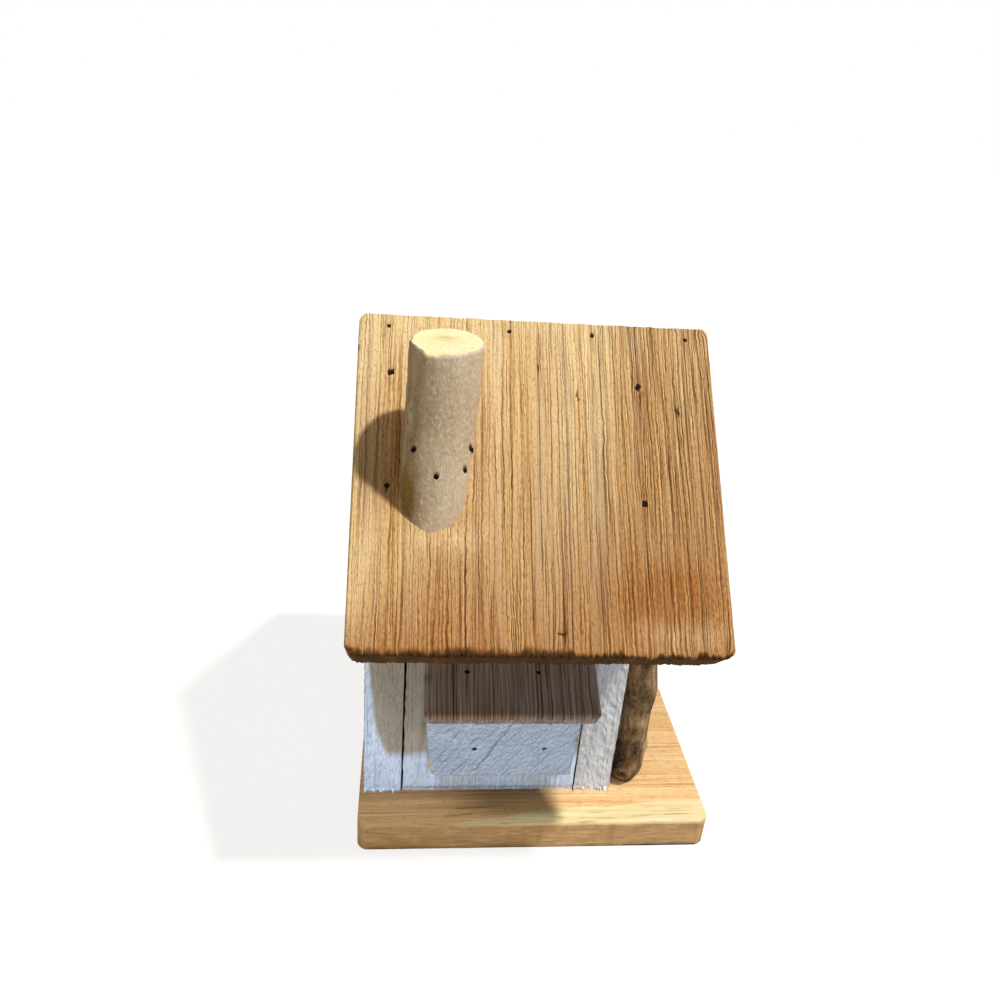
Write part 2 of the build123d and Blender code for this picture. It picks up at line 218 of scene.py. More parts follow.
# %% Board helpers
LINE_CUTS = (0.0, -0.22, 0.22, -0.5, 0.5)
NAIL_CUTS = (0.0, -0.3, 0.3, -0.6, 0.6, -0.9, 0.9, -1.2, 1.2, -1.6, 1.6)
CLOSEST, CLOSE = 0.15, 0.4


def spread(start, stop, step, near=(), lines=(), rim=(0.3, 0.8, 1.4, 2.2, 3.2, 4.2)):
    """Cuts from start to stop about a step apart, closer at both rims, round nails and at carved lines."""
    marks = [start, stop]
    marks += [line + d for d in LINE_CUTS for line in lines]
    marks += [place + d for d in NAIL_CUTS for place in near]
    marks += [start + r for r in rim] + [stop - r for r in rim]
    marks += list(np.linspace(start, stop, max(2, round((stop - start) / step) + 1)))
    kept = []
    for number, mark in enumerate(marks):
        clear = CLOSEST if number < len(marks) / 2 else min(0.3 * step, CLOSE)
        if start <= mark <= stop and all(abs(mark - k) > clear for k in kept):
            kept.append(mark)
    return np.array(sorted(kept))


def read_points(piece):
    """The points of a mesh as an array."""
    flat = np.empty(len(piece.data.vertices) * 3, np.float32)
    piece.data.vertices.foreach_get("co", flat)
    return flat.reshape(-1, 3).astype(float)


def move_points(piece, x, y, z):
    """Puts the points of a mesh at new places, given in millimetres."""
    places = np.stack([x, y, z], 1) / MM
    piece.data.vertices.foreach_set("co", places.astype(np.float32).ravel())
    piece.data.update()


def board_points(board):
    """A board's points in millimetres, a copy of them to be moved, and which ones lie on its upper face."""
    p = read_points(board) * MM
    return p.T, p.T.copy(), p[:, 2] > -0.01


def only(piece):
    """Selects one piece and makes it the active one."""
    bpy.ops.object.select_all(action="DESELECT")
    piece.select_set(True)
    bpy.context.view_layer.objects.active = piece


def close_below():
    """Closes the open underside of the mesh in edit mode, turns its faces outwards and leaves edit mode."""
    bpy.ops.mesh.select_all(action="DESELECT")
    bpy.ops.mesh.select_non_manifold()
    bpy.ops.mesh.edge_face_add()
    bpy.ops.mesh.select_all(action="SELECT")
    bpy.ops.mesh.normals_make_consistent(inside=False)
    bpy.ops.object.mode_set(mode="OBJECT")


def plank(name, xs, ys, depths):
    """A closed board with cuts at xs and ys on its upper face, at z = 0, and at the depths on its sides."""
    bpy.ops.object.select_all(action="DESELECT")
    bpy.ops.mesh.primitive_grid_add(x_subdivisions=len(xs) - 1, y_subdivisions=len(ys) - 1, size=1)
    board = bpy.context.object
    board.name = board.data.name = name
    bpy.ops.object.mode_set(mode="EDIT")
    for _ in depths[1:]:
        bpy.ops.mesh.extrude_region_move(TRANSFORM_OT_translate={"value": (0, 0, 1)})
    close_below()
    x, y, z = read_points(board).T
    x = np.interp(x + 0.5, np.linspace(0, 1, len(xs)), xs)
    y = np.interp(y + 0.5, np.linspace(0, 1, len(ys)), ys)
    move_points(board, x, y, np.interp(z, np.arange(len(depths)), -np.array(depths)))
    return board


# %% [markdown]
# ## Rough wood by formula
# No modelling tool carves grain along a board, so the roughness is worked out for all points at once.
# `cloud` is a smooth random field. Stretched along the grain it gives ridges, and round it gives dents.
# `carved` draws the long cracks, `pits` the nail holes and `dashes` the scratches. Each gives a number per
# point, which moves the point and can be stored as a mark, so that a finish darkens the same place.

# %% Roughness helpers
LATTICE = 89


def cloud(u, v, seed):
    """Smooth random field from -1 to 1 that changes over about one unit of u and of v."""
    lattice = np.random.default_rng(seed).uniform(-1, 1, (LATTICE, LATTICE))
    iu, iv = np.floor(u).astype(int), np.floor(v).astype(int)
    fu, fv = u - iu, v - iv
    fu, fv = fu * fu * (3 - 2 * fu), fv * fv * (3 - 2 * fv)
    iu, next_u, iv, next_v = iu % LATTICE, (iu + 1) % LATTICE, iv % LATTICE, (iv + 1) % LATTICE
    low = lattice[iu, iv] * (1 - fu) + lattice[next_u, iv] * fu
    high = lattice[iu, next_v] * (1 - fu) + lattice[next_u, next_v] * fu
    return low * (1 - fv) + high * fv


def wander(u, seed, row=0):
    """One row of a cloud, which changes along u only."""
    return cloud(u, u * 0 + row, seed)


def smooth(value, low, high):
    """0 below low, 1 above high and a soft step between."""
    t = np.clip((value - low) / (high - low), 0, 1)
    return t * t * (3 - 2 * t)


def spot(*away):
    """Soft spot that is 1 where every distance is 0 and fades out at about 2."""
    return np.exp(-sum(a**2 for a in away))


def carved(across, along, lines, width=0.24, fade=8):
    """Mark of straight carved lines, each with its place, strength, start and stop."""
    mark = np.zeros_like(across)
    for place, strength, start, stop in lines:
        ends = smooth(along, start, start + fade) * (1 - smooth(along, stop - fade, stop))
        mark = np.maximum(mark, strength * ends * spot((across - place) / width))
    return mark


def rounded_plan(x, y, low, high, radius):
    """Moves points of a rectangle's four corner squares onto rounded corners."""
    x, y = x.copy(), y.copy()
    for sx, cx in ((-1, low[0] + radius), (1, high[0] - radius)):
        for sy, cy in ((-1, low[1] + radius), (1, high[1] - radius)):
            u, v = (x - cx) * sx, (y - cy) * sy
            inside = (u > 0) & (v > 0)
            scale = np.maximum(u, v)[inside] / np.maximum(np.hypot(u, v)[inside], 1e-9)
            x[inside] = cx + sx * u[inside] * scale
            y[inside] = cy + sy * v[inside] * scale
    return x, y


def rim_drop(distance, radius):
    """How far a rounded rim falls away at a distance from the edge."""
    d = np.clip(distance, 0, radius)
    return radius - np.sqrt(np.maximum(radius**2 - (radius - d) ** 2, 0))


def pits(x, y, places, width, seed):
    """Depth share of ragged nail pits at the places: 1 inside, 0 outside, and a mark for the rim."""
    pit, rim = np.zeros_like(x), np.zeros_like(x)
    rng = np.random.default_rng(seed)
    square = 2.8
    for (px, py), wide in zip(places, np.broadcast_to(width, len(places))):
        turn = rng.uniform(0, 1.5)
        u = (x - px) * math.cos(turn) + (y - py) * math.sin(turn)
        v = -(x - px) * math.sin(turn) + (y - py) * math.cos(turn)
        reach = (np.abs(u * rng.uniform(0.8, 1.15)) ** square + np.abs(v) ** square) ** (1 / square)
        reach = reach * (1 + 0.2 * cloud(u * 1.1 + 9, v * 1.1 + 9, seed))
        pit = np.maximum(pit, 1 - smooth(reach, wide * 0.38, wide * 0.55))
        rim = np.maximum(rim, spot((reach - wide * 0.7) / (wide * 0.25)))
    return pit, rim * (1 - pit)


def dashes(x, y, segments):
    """Mark of short scratches, each given by its two ends and its half width."""
    mark = np.zeros_like(x)
    for ax, ay, bx, by, wide in segments:
        share = ((x - ax) * (bx - ax) + (y - ay) * (by - ay)) / ((bx - ax) ** 2 + (by - ay) ** 2)
        share = np.clip(share, 0, 1)
        away = np.hypot(x - ax - share * (bx - ax), y - ay - share * (by - ay))
        mark = np.maximum(mark, spot(away / wide))
    return mark


# %% [markdown]
# ## Marks and places
# A finish needs to know where it is on a board. So each mesh stores attributes: `grain`, the place in the
# board's own directions, and marks such as `streak` or `worn`. Last, a piece is turned into its place in the
# frame, smoothed, and tied to its body and its CAD node.

# %% Marking and settling


def keep(piece, name, kind, field, values):
    """Stores values for each point under a name."""
    attribute = piece.data.attributes.get(name) or piece.data.attributes.new(name, kind, "POINT")
    attribute.data.foreach_set(field, values.astype(np.float32).ravel())


def keep_marks(piece, **marks):
    """Stores one number per point under each name, by which a finish can read it."""
    for name, values in marks.items():
        keep(piece, name, "FLOAT", "value", values)


def keep_grain(piece, across, along, out):
    """Stores each point's place in the board's own directions: across the grain, along it and out of it."""
    keep(piece, "grain", "FLOAT_VECTOR", "vector", np.stack([across, along, out], 1) / MM)


def settle(piece, body, node, finish, turn=None, at=(0, 0, 0), angle=35):
    """Puts a finished piece in its place in the frame, with its finish, and lets it stand for its CAD node."""
    place = Matrix.Translation(Vector(at) / MM)
    piece.matrix_world = place @ turn.to_4x4() if turn else place
    only(piece)
    bpy.ops.object.transform_apply(location=True, rotation=True, scale=True)
    bpy.ops.object.shade_smooth_by_angle(angle=math.radians(angle))
    piece.data.materials.clear()
    piece.data.materials.append(finish)
    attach(piece, body)
    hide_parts(node)
    print(piece.name, len(piece.data.polygons), "faces")


# %% [markdown]
# ## Finishes
# A finish starts from noise stretched along the grain, which a ramp turns into colour. Stains, lines and the
# stored marks are then laid over it one by one, as a painter glazes. `contours` draws thin lines where a noise
# passes its middle, which look more like grain than the noise itself.

# %% Finish helper


class Finish(Nodes):
    """A material under construction, with its colour as far as it is laid."""

    def __init__(self, name, on_grain=True):
        self.material = bpy.data.materials.new(name)
        self.material.use_nodes = True
        super().__init__(self.material.node_tree)
        self.shader = self.nodes["Principled BSDF"].inputs
        self.place = self.mark("grain", "Vector") if on_grain else self.add("TexCoord").outputs["Object"]
        self.colour = None

    def mark(self, name, output="Fac"):
        """A mark that the mesh stores."""
        return self.add("Attribute", attribute_name=name).outputs[output]

    def noise(self, scale, detail=3.0, rough=0.55, shift=(0, 0, 0)):
        """A noise stretched by a scale for each direction of the grain."""
        stretch = self.add("Mapping", {"Vector": self.place, "Scale": scale, "Location": shift})
        field = {"Vector": stretch.outputs["Vector"], "Scale": 1.0, "Detail": detail, "Roughness": rough}
        return self.add("TexNoise", field).outputs["Fac"]

    def wiggle(self, scale, reach):
        """Bends the grain sideways, so that lines drawn after this are not ruler-straight."""
        sideways = self.span(self.noise(scale, 2.0), 0.0, 1.0, -reach / 2, reach / 2)
        shift = self.add("CombineXYZ", {"X": sideways}).outputs["Vector"]
        self.place = self.add("VectorMath", {0: self.place, 1: shift}).outputs["Vector"]

    def contours(self, scale, width, side=0.0):
        """Thin wavy lines along the grain, drawn where a noise passes its middle; side shifts them across."""
        field = self.noise(scale, 1.0, 0.5, (side * scale[0], 0, 0))
        away = self.sum(self.sum(field, 0.5, "SUBTRACT"), 0.0, "ABSOLUTE")
        return self.span(away, 0.0, width, 1.0, 0.0)

    def ramp(self, value, *stops):
        """A value turned into colour."""
        node = self.add("ValToRGB", {"Fac": value})
        elements = node.color_ramp.elements
        while len(elements) < len(stops):
            elements.new(0.5)
        for element, (position, code) in zip(elements, stops):
            element.position, element.color = position, linear(code)
        return node.outputs["Color"]

    def lay(self, share, colour, blend="MIX"):
        """Lays a share of a colour over what is there."""
        self.colour = self.mix(share, self.colour, colour, blend)

    def stain(self, value, low, high, most, colour, blend="MIX"):
        """Lays a colour where a value passes from low to high, up to the most."""
        self.lay(self.span(value, low, high, 0.0, most), colour, blend)

    def done(self, gloss, rough, height, strength, distance):
        """Hands the colour, gloss, roughness and bump to the shader."""
        raised = self.add("Bump", {"Strength": strength, "Distance": distance, "Height": height})
        values = (self.colour, gloss, rough, raised.outputs["Normal"])
        for name, value in zip(("Base Color", "Specular IOR Level", "Roughness", "Normal"), values):
            self.feed(self.shader[name], value)
        print("finish:", self.material.name)
        return self.material


# %% [markdown]
# ## Roof wood
# The roof boards are honey-coloured softwood with fine straight grain, darker towards the eave, and black-brown
# where the late wood has opened. Broad bands, fine lines and short flecks are three noises, each stretched
# along the grain by its own amount, and the growth rings are contour lines, each with a painted highlight
# beside it. `rough` marks the side where the saw tore more of them open, and its rings get the same painted
# highlight. The carved cracks come in through `streak`. A last mark lays painted shade on the eave's end
# face, which is made near black, and darkens a band along the eave on top and a notch on one side.

# %% Roof finish
f = Finish("roof_wood")
f.wiggle((110, 25, 110), 0.0018)
f.wiggle((420, 190, 420), 0.0012)
bands = f.noise((130, 3.5, 60), 3.0, 0.6)
fine = f.noise((1000, 8, 300), 1.0, 0.5)
fuzz = f.noise((1250, 400, 900), 3.0, 0.75)
patches = f.noise((26, 16, 16), 3.0, 0.6)
fade = f.span(f.noise((300, 18, 200), 2.0, 0.6), 0.38, 0.62, 0.05, 1.0)
RINGS, TORN_RINGS = (540, 7, 300), (620, 9, 300)
grain = f.times(f.contours(RINGS, 0.065), fade)
ridge = f.times(f.contours(RINGS, 0.07, 0.0005), fade)
f.colour = f.ramp(bands, (0.32, "#F3D49A"), (0.5, "#FBE4B2"), (0.68, "#FEEFC8"))
f.stain(patches, 0.5, 0.75, 0.35, "#DBA867")
f.lay(f.mark("brown"), "#985C2B")
f.lay(f.mark("pale"), "#F8E2B6")
f.stain(fine, 0.45, 0.3, 0.6, "#A87A48", "MULTIPLY")
f.stain(fine, 0.55, 0.7, 0.6, "#7A5C34", "SCREEN")
f.stain(fuzz, 0.48, 0.32, 0.55, "#9A7048", "MULTIPLY")
f.stain(fuzz, 0.51, 0.66, 0.85, "#92703E", "SCREEN")
# Painted highlight: the ring lines shifted a little across are lightened beside the dark rings, and beside the
# torn rings below.
f.lay(f.times(ridge, 0.75), "#B08C58", "SCREEN")
f.lay(f.times(grain, f.span(f.mark("brown"), 0.2, 0.7, 0.55, 0.9)), "#A06834", "MULTIPLY")
f.lay(f.times(f.contours(TORN_RINGS, 0.055, 0.0005), f.mark("rough")), "#C8A46C", "SCREEN")
f.lay(f.times(f.contours(TORN_RINGS, 0.05), f.mark("rough")), "#74491F", "MULTIPLY")
f.lay(f.mark("streak"), "#3A210D")
# Painted shade: the eave's end face is laid near black; the same mark darkens a band along the eave on top and a
# notch.
ragged = f.sum(f.span(bands, 0.3, 0.7, -0.25, 0.25), f.span(fuzz, 0.3, 0.7, -0.35, 0.35))
darkened_and_shaded = f.sum(ragged, f.mark("dirt"))
f.stain(darkened_and_shaded, 0.15, 0.6, 0.7, "#7A4C24")
f.stain(darkened_and_shaded, 0.45, 0.95, 0.95, f.ramp(fuzz, (0.35, "#120B07"), (0.68, "#63462B")))
relief = f.sum(f.sum(fine, fuzz), grain, "SUBTRACT")
roof_wood = f.done(0.06, f.span(bands, 0.3, 0.7, 0.9, 0.75), relief, 0.85, 0.0005)

# %% [markdown]
# ## White paint on rough wood
# The walls carry one thin coat of cool white paint. It lies thick between the saw marks and thin on the
# ridges, where grey wood shows through. `bare` marks the faces that the brush never reached. Towards the top,
# under the eave, painted shade is laid through `worn`, and the faces inside the joints get painted shade
# through `streak`.

# %% Whitewash finish
f = Finish("whitewash")
f.wiggle((80, 45, 80), 0.0016)
ribs = f.noise((820, 16, 820), 2.0, 0.6)
strokes = f.noise((900, 260, 900), 3.0, 0.7)
speckle = f.noise((1700, 1300, 1700), 2.0, 0.7)
blotch = f.noise((60, 25, 60), 3.0, 0.6)
wood = f.ramp(f.noise((420, 8, 420), 3.0, 0.6), (0.35, "#A88457"), (0.65, "#D9BC8C"))
f.colour = f.ramp(blotch, (0.3, "#C6C8CA"), (0.62, "#DEDFE0"))
f.lay(f.mark("shade"), "#7E8288")
f.stain(ribs, 0.46, 0.32, 0.5, "#9A9EA6", "MULTIPLY")
f.stain(strokes, 0.46, 0.3, 0.6, "#9A9EA6", "MULTIPLY")
f.stain(strokes, 0.55, 0.7, 0.7, "#7A7E82", "SCREEN")
# The worn mark is wear on the edges and, towards the top of the walls, painted shade under the eave.
f.lay(f.times(f.mark("worn"), f.span(speckle, 0.35, 0.65, 0.3, 1.2)), f.mix(0.35, wood, "#8D8579"))
f.lay(f.mark("bare"), wood)
# The streak mark is dark cracks, ribs and pits, and painted shade on the faces inside the joints.
f.lay(f.mark("streak"), "#2B2723")
relief = f.sum(f.times(ribs, 0.6), strokes)
whitewash = f.done(0.1, f.span(speckle, 0.3, 0.7, 0.8, 0.95), relief, 0.9, 0.0008)

# %% [markdown]
# ## Pine for the base
# The base is planed pine: pale, warm and nearly smooth, with long grain from end to end and a strip of
# yellowish sapwood along its near edge. The strip is a band across the grain with a slightly wavy border.
# A further mark lays painted shade on the wood under the block and along the foot of the near wall.

# %% Pine finish
f = Finish("pine")
f.wiggle((60, 14, 60), 0.002)
bands = f.noise((95, 3.0, 60), 2.0, 0.5)
lines = f.noise((700, 11, 300), 3.0, 0.6)
pores = f.noise((1500, 260, 900), 2.0, 0.7)
mottle = f.noise((420, 90, 700), 3.0, 0.75)
f.colour = f.ramp(lines, (0.35, "#C8B98E"), (0.6, "#D6CBA8"))
f.stain(f.noise((800, 45, 800), 2.0, 0.6), 0.56, 0.68, 0.7, "#9C7E48")
sapwood = f.colour
f.colour = f.ramp(mottle, (0.3, "#A4855C"), (0.5, "#BC9C72"), (0.7, "#D2B48A"))
f.stain(f.noise((60, 210, 30), 2.0, 0.6), 0.56, 0.74, 0.35, "#8F6C43")
sawn_end = f.colour
f.colour = f.ramp(bands, (0.32, "#C8A473"), (0.5, "#D1B183"), (0.7, "#D7BB91"))
f.stain(lines, 0.47, 0.35, 0.85, "#B3814B")
f.stain(lines, 0.54, 0.66, 0.6, "#E8D0A8")
f.stain(pores, 0.53, 0.68, 0.6, "#A87845")
f.lay(f.mark("pale"), sapwood)
# Painted shade under the block and along the foot of the near wall.
f.lay(f.mark("damp"), "#5A4A3A", "MULTIPLY")
f.lay(f.mark("endgrain"), sawn_end)
f.lay(f.mark("streak"), "#6E4B2A")
relief = f.sum(f.times(lines, 0.5), f.times(pores, f.mark("endgrain")))
pine = f.done(0.12, f.span(lines, 0.3, 0.7, 0.8, 0.62), relief, 0.4, 0.0004)

# %% [markdown]
# ## Weathered grey wood
# The little roof has stood outdoors: grey-brown, with long dark cracks, and a tan front edge that is painted
# light. The cracks are carved in the mesh and only darkened here, and each ring line gets a painted highlight.

# %% Grey wood finish
f = Finish("grey_wood")
f.wiggle((150, 60, 150), 0.001)
bands = f.noise((200, 6, 90), 2.0, 0.6)
fine = f.noise((950, 9, 400), 2.0, 0.6)
grit = f.noise((1100, 700, 900), 2.0, 0.7)
patches = f.noise((45, 30, 30), 2.0, 0.6)
RINGS = (560, 10, 300)
grain, ridge = f.contours(RINGS, 0.06), f.contours(RINGS, 0.07, 0.0005)
f.colour = f.ramp(bands, (0.32, "#8E868A"), (0.5, "#A9A1A6"), (0.7, "#C3BCC0"))
f.stain(patches, 0.42, 0.7, 0.35, "#A68F7A")
# Painted light: the pale mark lays a tan light on the front edge.
f.lay(f.mark("pale"), f.ramp(fine, (0.35, "#94704C"), (0.6, "#BC9870")))
f.lay(f.mark("moss"), "#5F6A45")
f.stain(fine, 0.46, 0.32, 0.7, "#7E746C", "MULTIPLY")
f.stain(fine, 0.55, 0.7, 0.5, "#6E6258", "SCREEN")
f.stain(grit, 0.56, 0.74, 0.4, "#7A7068", "SCREEN")
# Painted highlight: the ring lines shifted a little across are lightened beside each dark ring.
f.lay(f.times(ridge, 0.5), "#7E746C", "SCREEN")
f.lay(f.times(grain, 0.55), "#564A42", "MULTIPLY")
f.lay(f.mark("streak"), "#1A120D")
relief = f.sum(f.sum(fine, f.times(grit, 0.5)), grain, "SUBTRACT")
grey_wood = f.done(0.08, f.span(bands, 0.3, 0.7, 0.95, 0.8), relief, 0.6, 0.0005)

# %% [markdown]
# ## Branches
# The chimney is a branch with its bark peeled off: pale, pinkish and silky, with a cream cut on top. The
# posts keep their inner bark, dark brown with paler rubbed spots and knots. On each branch one side is darker
# with painted shade.

# %% Peeled branch finish
f = Finish("peeled_branch")
f.wiggle((300, 220, 300), 0.002)
strokes = f.noise((1150, 520, 1150), 3.0, 0.7)
fibres = f.noise((420, 26, 420), 3.0, 0.6)
specks = f.noise((1800, 1100, 1800), 2.0, 0.7)
blotch = f.noise((75, 32, 75), 3.0, 0.55)
cut = f.ramp(f.noise((500, 500, 500), 3.0, 0.65), (0.32, "#F1E2AC"), (0.62, "#FCF5D2"))
f.colour = f.ramp(blotch, (0.3, "#BFAC95"), (0.5, "#CFBEA8"), (0.72, "#DCCFBD"))
f.stain(fibres, 0.46, 0.3, 0.25, "#A78A66")
f.stain(strokes, 0.52, 0.68, 0.7, "#F0E8DB")
f.stain(strokes, 0.42, 0.26, 0.5, "#A58B6B")
f.stain(specks, 0.62, 0.78, 0.35, "#9A8060")
# Painted shade: the inner mark darkens the chimney's left side and a patch near its foot.
f.lay(f.mark("inner"), f.ramp(strokes, (0.3, "#7A5F33"), (0.7, "#9E8350")))
f.lay(f.mark("cut"), f.mix(f.mark("pith"), cut, "#D9B370"))
f.lay(f.mark("streak"), "#2A1B0F")
relief = f.sum(strokes, f.times(specks, 0.5))
peeled_branch = f.done(0.12, f.span(blotch, 0.3, 0.7, 0.85, 0.7), relief, 0.7, 0.0005)

# %% Bark finish
f = Finish("bark_branch")
fibres = f.noise((420, 60, 420), 4.0, 0.65)
blotch = f.noise((90, 45, 90), 3.0, 0.6)
specks = f.noise((900, 500, 900), 2.0, 0.7)
f.colour = f.ramp(blotch, (0.33, "#261A12"), (0.49, "#634E38"), (0.68, "#B09573"))
f.stain(fibres, 0.48, 0.32, 0.75, "#2A1D14")
f.stain(specks, 0.56, 0.74, 0.6, "#B09677")
f.lay(f.mark("worn"), "#A98F6E")
# The streak mark is the knots' dark hearts, and painted shade on the side of each post that faces the wall.
f.lay(f.mark("streak"), "#120B07")
bark_branch = f.done(0.15, f.span(blotch, 0.3, 0.7, 0.8, 0.62), f.sum(fibres, specks), 0.7, 0.0007)

# %% [markdown]
# ## Dark iron
# Nails, screws and the hook are old iron, nearly black in their holes, with a little brown rust. They stay
# CAD nodes, because their shape is right already, and take the finish in their material slots.

# %% Iron finishes


def iron_finish(name, dark, light, rust, metal):
    """Rusty iron that reads Object coordinates, since a CAD node has no grain."""
    f = Finish(name, on_grain=False)
    spots = f.noise((700, 700, 700), 3.0, 0.65)
    f.colour = f.ramp(spots, (0.35, dark), (0.65, light))
    f.stain(f.noise((300, 300, 300), 2.0), 0.5, 0.7, 0.6, rust)
    f.feed(f.shader["Metallic"], metal)
    return f.done(0.15, f.span(spots, 0.3, 0.7, 0.9, 0.7), spots, 0.3, 0.0002)


nail_iron = iron_finish("nail_iron", "#0C0907", "#1A1410", "#24160D", 0.0)
hook_iron = iron_finish("hook_iron", "#6B6862", "#97938B", "#6E4A31", 0.85)
nails = [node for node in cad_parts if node.endswith("_nails")]
for node in nails + ["base_screws", "latch_hook"]:
    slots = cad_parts[node].data.materials
    slots.clear()
    slots.append(nail_iron if node in nails else hook_iron)
print("iron on", len(nails) + 2, "nodes")

# %% [markdown]
# ## The base board
# One planed pine board with eased edges and rounded corners. The saw wandered on the near edge, so towards the
# porch the edge leans in below. A bevel would ease all edges alike, so the rims are moved by formula instead.
# Fine lines of grain run along X, each with its own place, width, length and bow, and two scratches cross them.

# %% Base
BASE_CORNER, BASE_RIM = 6.0, 0.9
BASE_SCRATCHES = ((-38.0, -60.0, -16.0, -58.6, 0.55), (-43.0, -64.8, -30.0, -63.6, 0.5))
base_size = base_high - base_low


def grain_marks(along, across):
    """Marks of thirty fine lines of grain."""
    mark, rng = np.zeros_like(along), np.random.default_rng(3)
    for place in np.random.default_rng(4).uniform(-69, 69, 30):
        size = rng.uniform(20, 90)
        start = rng.uniform(-90 - size / 2, 92 - size / 2)
        width, strength = rng.uniform(0.3, 0.6), rng.uniform(0.08, 0.25)
        bow, phase = rng.uniform(-0.5, 0.5), rng.uniform(0, 6.28)
        line = place + bow * np.sin(along / 38.0 + phase) + 0.25 * bow * np.sin(along / 9.0 + 2 * phase)
        ends = smooth(along, start, start + 6) * (1 - smooth(along, start + size - 6, start + size))
        mark = np.maximum(mark, strength * ends * spot((across - line) / width))
    return mark


base = plank(
    "base",
    spread(base_low[0], base_high[0], 2.0),
    spread(base_low[1], base_high[1], 0.9),
    (base_size[2], 16.2, 14, 11.5, 9, 6.5, 4.0, 2.2, 1.2, 0.0),
)
(px, py, pz), (x, y, z), top = board_points(base)
x, y = rounded_plan(x, y, base_low[:2], base_high[:2], BASE_CORNER)
edge = np.minimum.reduce([x - base_low[0], base_high[0] - x, y - base_low[1], base_high[1] - y])
deep = -pz / base_size[2]
mark = np.maximum(grain_marks(x, y), 0.7 * dashes(x, y, BASE_SCRATCHES)) * top
z = z - np.where(top, rim_drop(edge, BASE_RIM), BASE_RIM * 1.1 * (1 - deep)) - 0.12 * mark
z = z + np.where(top, 0.10 * cloud(y / 1.3, x / 45, 5) + 0.06 * cloud(y / 6, x / 30, 6), 0)
on_near = (py < base_low[1] + 0.01) & ~top
lean = 0.6 * smooth(x, 0, base_high[0]) * deep
y = y + np.where(on_near, lean, 0) + np.where(on_near, 0.25 * cloud(x / 5, z / 4, 7), 0)
low_rim = 0.4 * smooth(deep, 0.94, 1.0) * (edge < 0.01)
move_points(base, x - np.sign(x) * low_rim, y - np.sign(y) * low_rim, z)
print("base", base_size.round(1), "mm,", len(x), "points")

# %% [markdown]
# Along its near edge the board shows a strip of sapwood, wider towards the porch. Painted shade darkens the
# board under the block and along the foot of the near wall.

# %% Marks of the base
SAPWOOD = ((-60, -28, -15, -1, 90), (-70.5, -67.5, -66.5, -62.2, -54.8))
strip = np.interp(px, *SAPWOOD) + 0.5 * wander(px / 12, 8)
# Painted shade: darker under the block and along the foot of the near wall.
shade_under_block = smooth(px, -45, -15) * (1 - smooth(px, 9, 17)) * (1 - smooth(-py, 62, 68))
foot = (1 - smooth(px, -50, -30)) * (1 - smooth(-py, 51, 57))
damp = (0.5 * shade_under_block + 0.28 * foot) * (1 + 0.15 * cloud(py / 2.5, px / 25, 9))
keep_grain(base, py, px, pz)
keep_marks(
    base,
    streak=mark,
    pale=top * (1 - smooth(py, strip - 0.5, strip + 0.5)) * smooth(px, -60, -30),
    damp=np.where(top & (py < 0), np.clip(damp, 0, 1), 0),
    endgrain=np.where(top, 0, smooth(-pz, 0.1, 1.1)),
)
settle(base, "house", "base_board", pine, at=(0, 0, base_high[2]))

# %% [markdown]
# ## The end walls
# Each end wall is one wide board with a gable on top. The grid is cut to the gable with two bisects along the
# underside of the roof, because a bisect leaves the rows of points beside the cut in order. Rough saw marks
# run up the board, its lower rim is splintered, and the coat of paint is worn along the edges. Painted shade
# darkens the paint towards the top, under the eave, and the inner face near its edges, where it shows in the
# joints.

# %% End wall helpers
ROOF_PITCH = math.radians(45)
LEAN_UP, LEAN_OUT = math.cos(ROOF_PITCH), math.sin(ROOF_PITCH)
ROOF_GAP = 0.15
TUFT_LENGTH, TUFT_HEIGHT, SPLINTER = 1.7, 2.2, 0.9
roof_low, roof_high = node_box("near_roof_board")
ridge_top = roof_high[2]
roof_thickness = roof_high[1] / math.sin(ROOF_PITCH)
ridge_under = ridge_top - roof_thickness / math.cos(ROOF_PITCH)
print("roof", round(roof_thickness, 1), "mm thick, its underside meets at", round(ridge_under, 1), "mm")


def cut_away(piece, height, normal):
    """Cuts a piece along a plane that crosses its y at a height, drops the outer side and closes the cut."""
    only(piece)
    bpy.ops.object.mode_set(mode="EDIT")
    bpy.ops.mesh.select_all(action="SELECT")
    where = Vector((0, height, 0)) / MM
    bpy.ops.mesh.bisect(plane_co=where, plane_no=normal, use_fill=True, clear_outer=True, threshold=1e-6)
    bpy.ops.object.mode_set(mode="OBJECT")


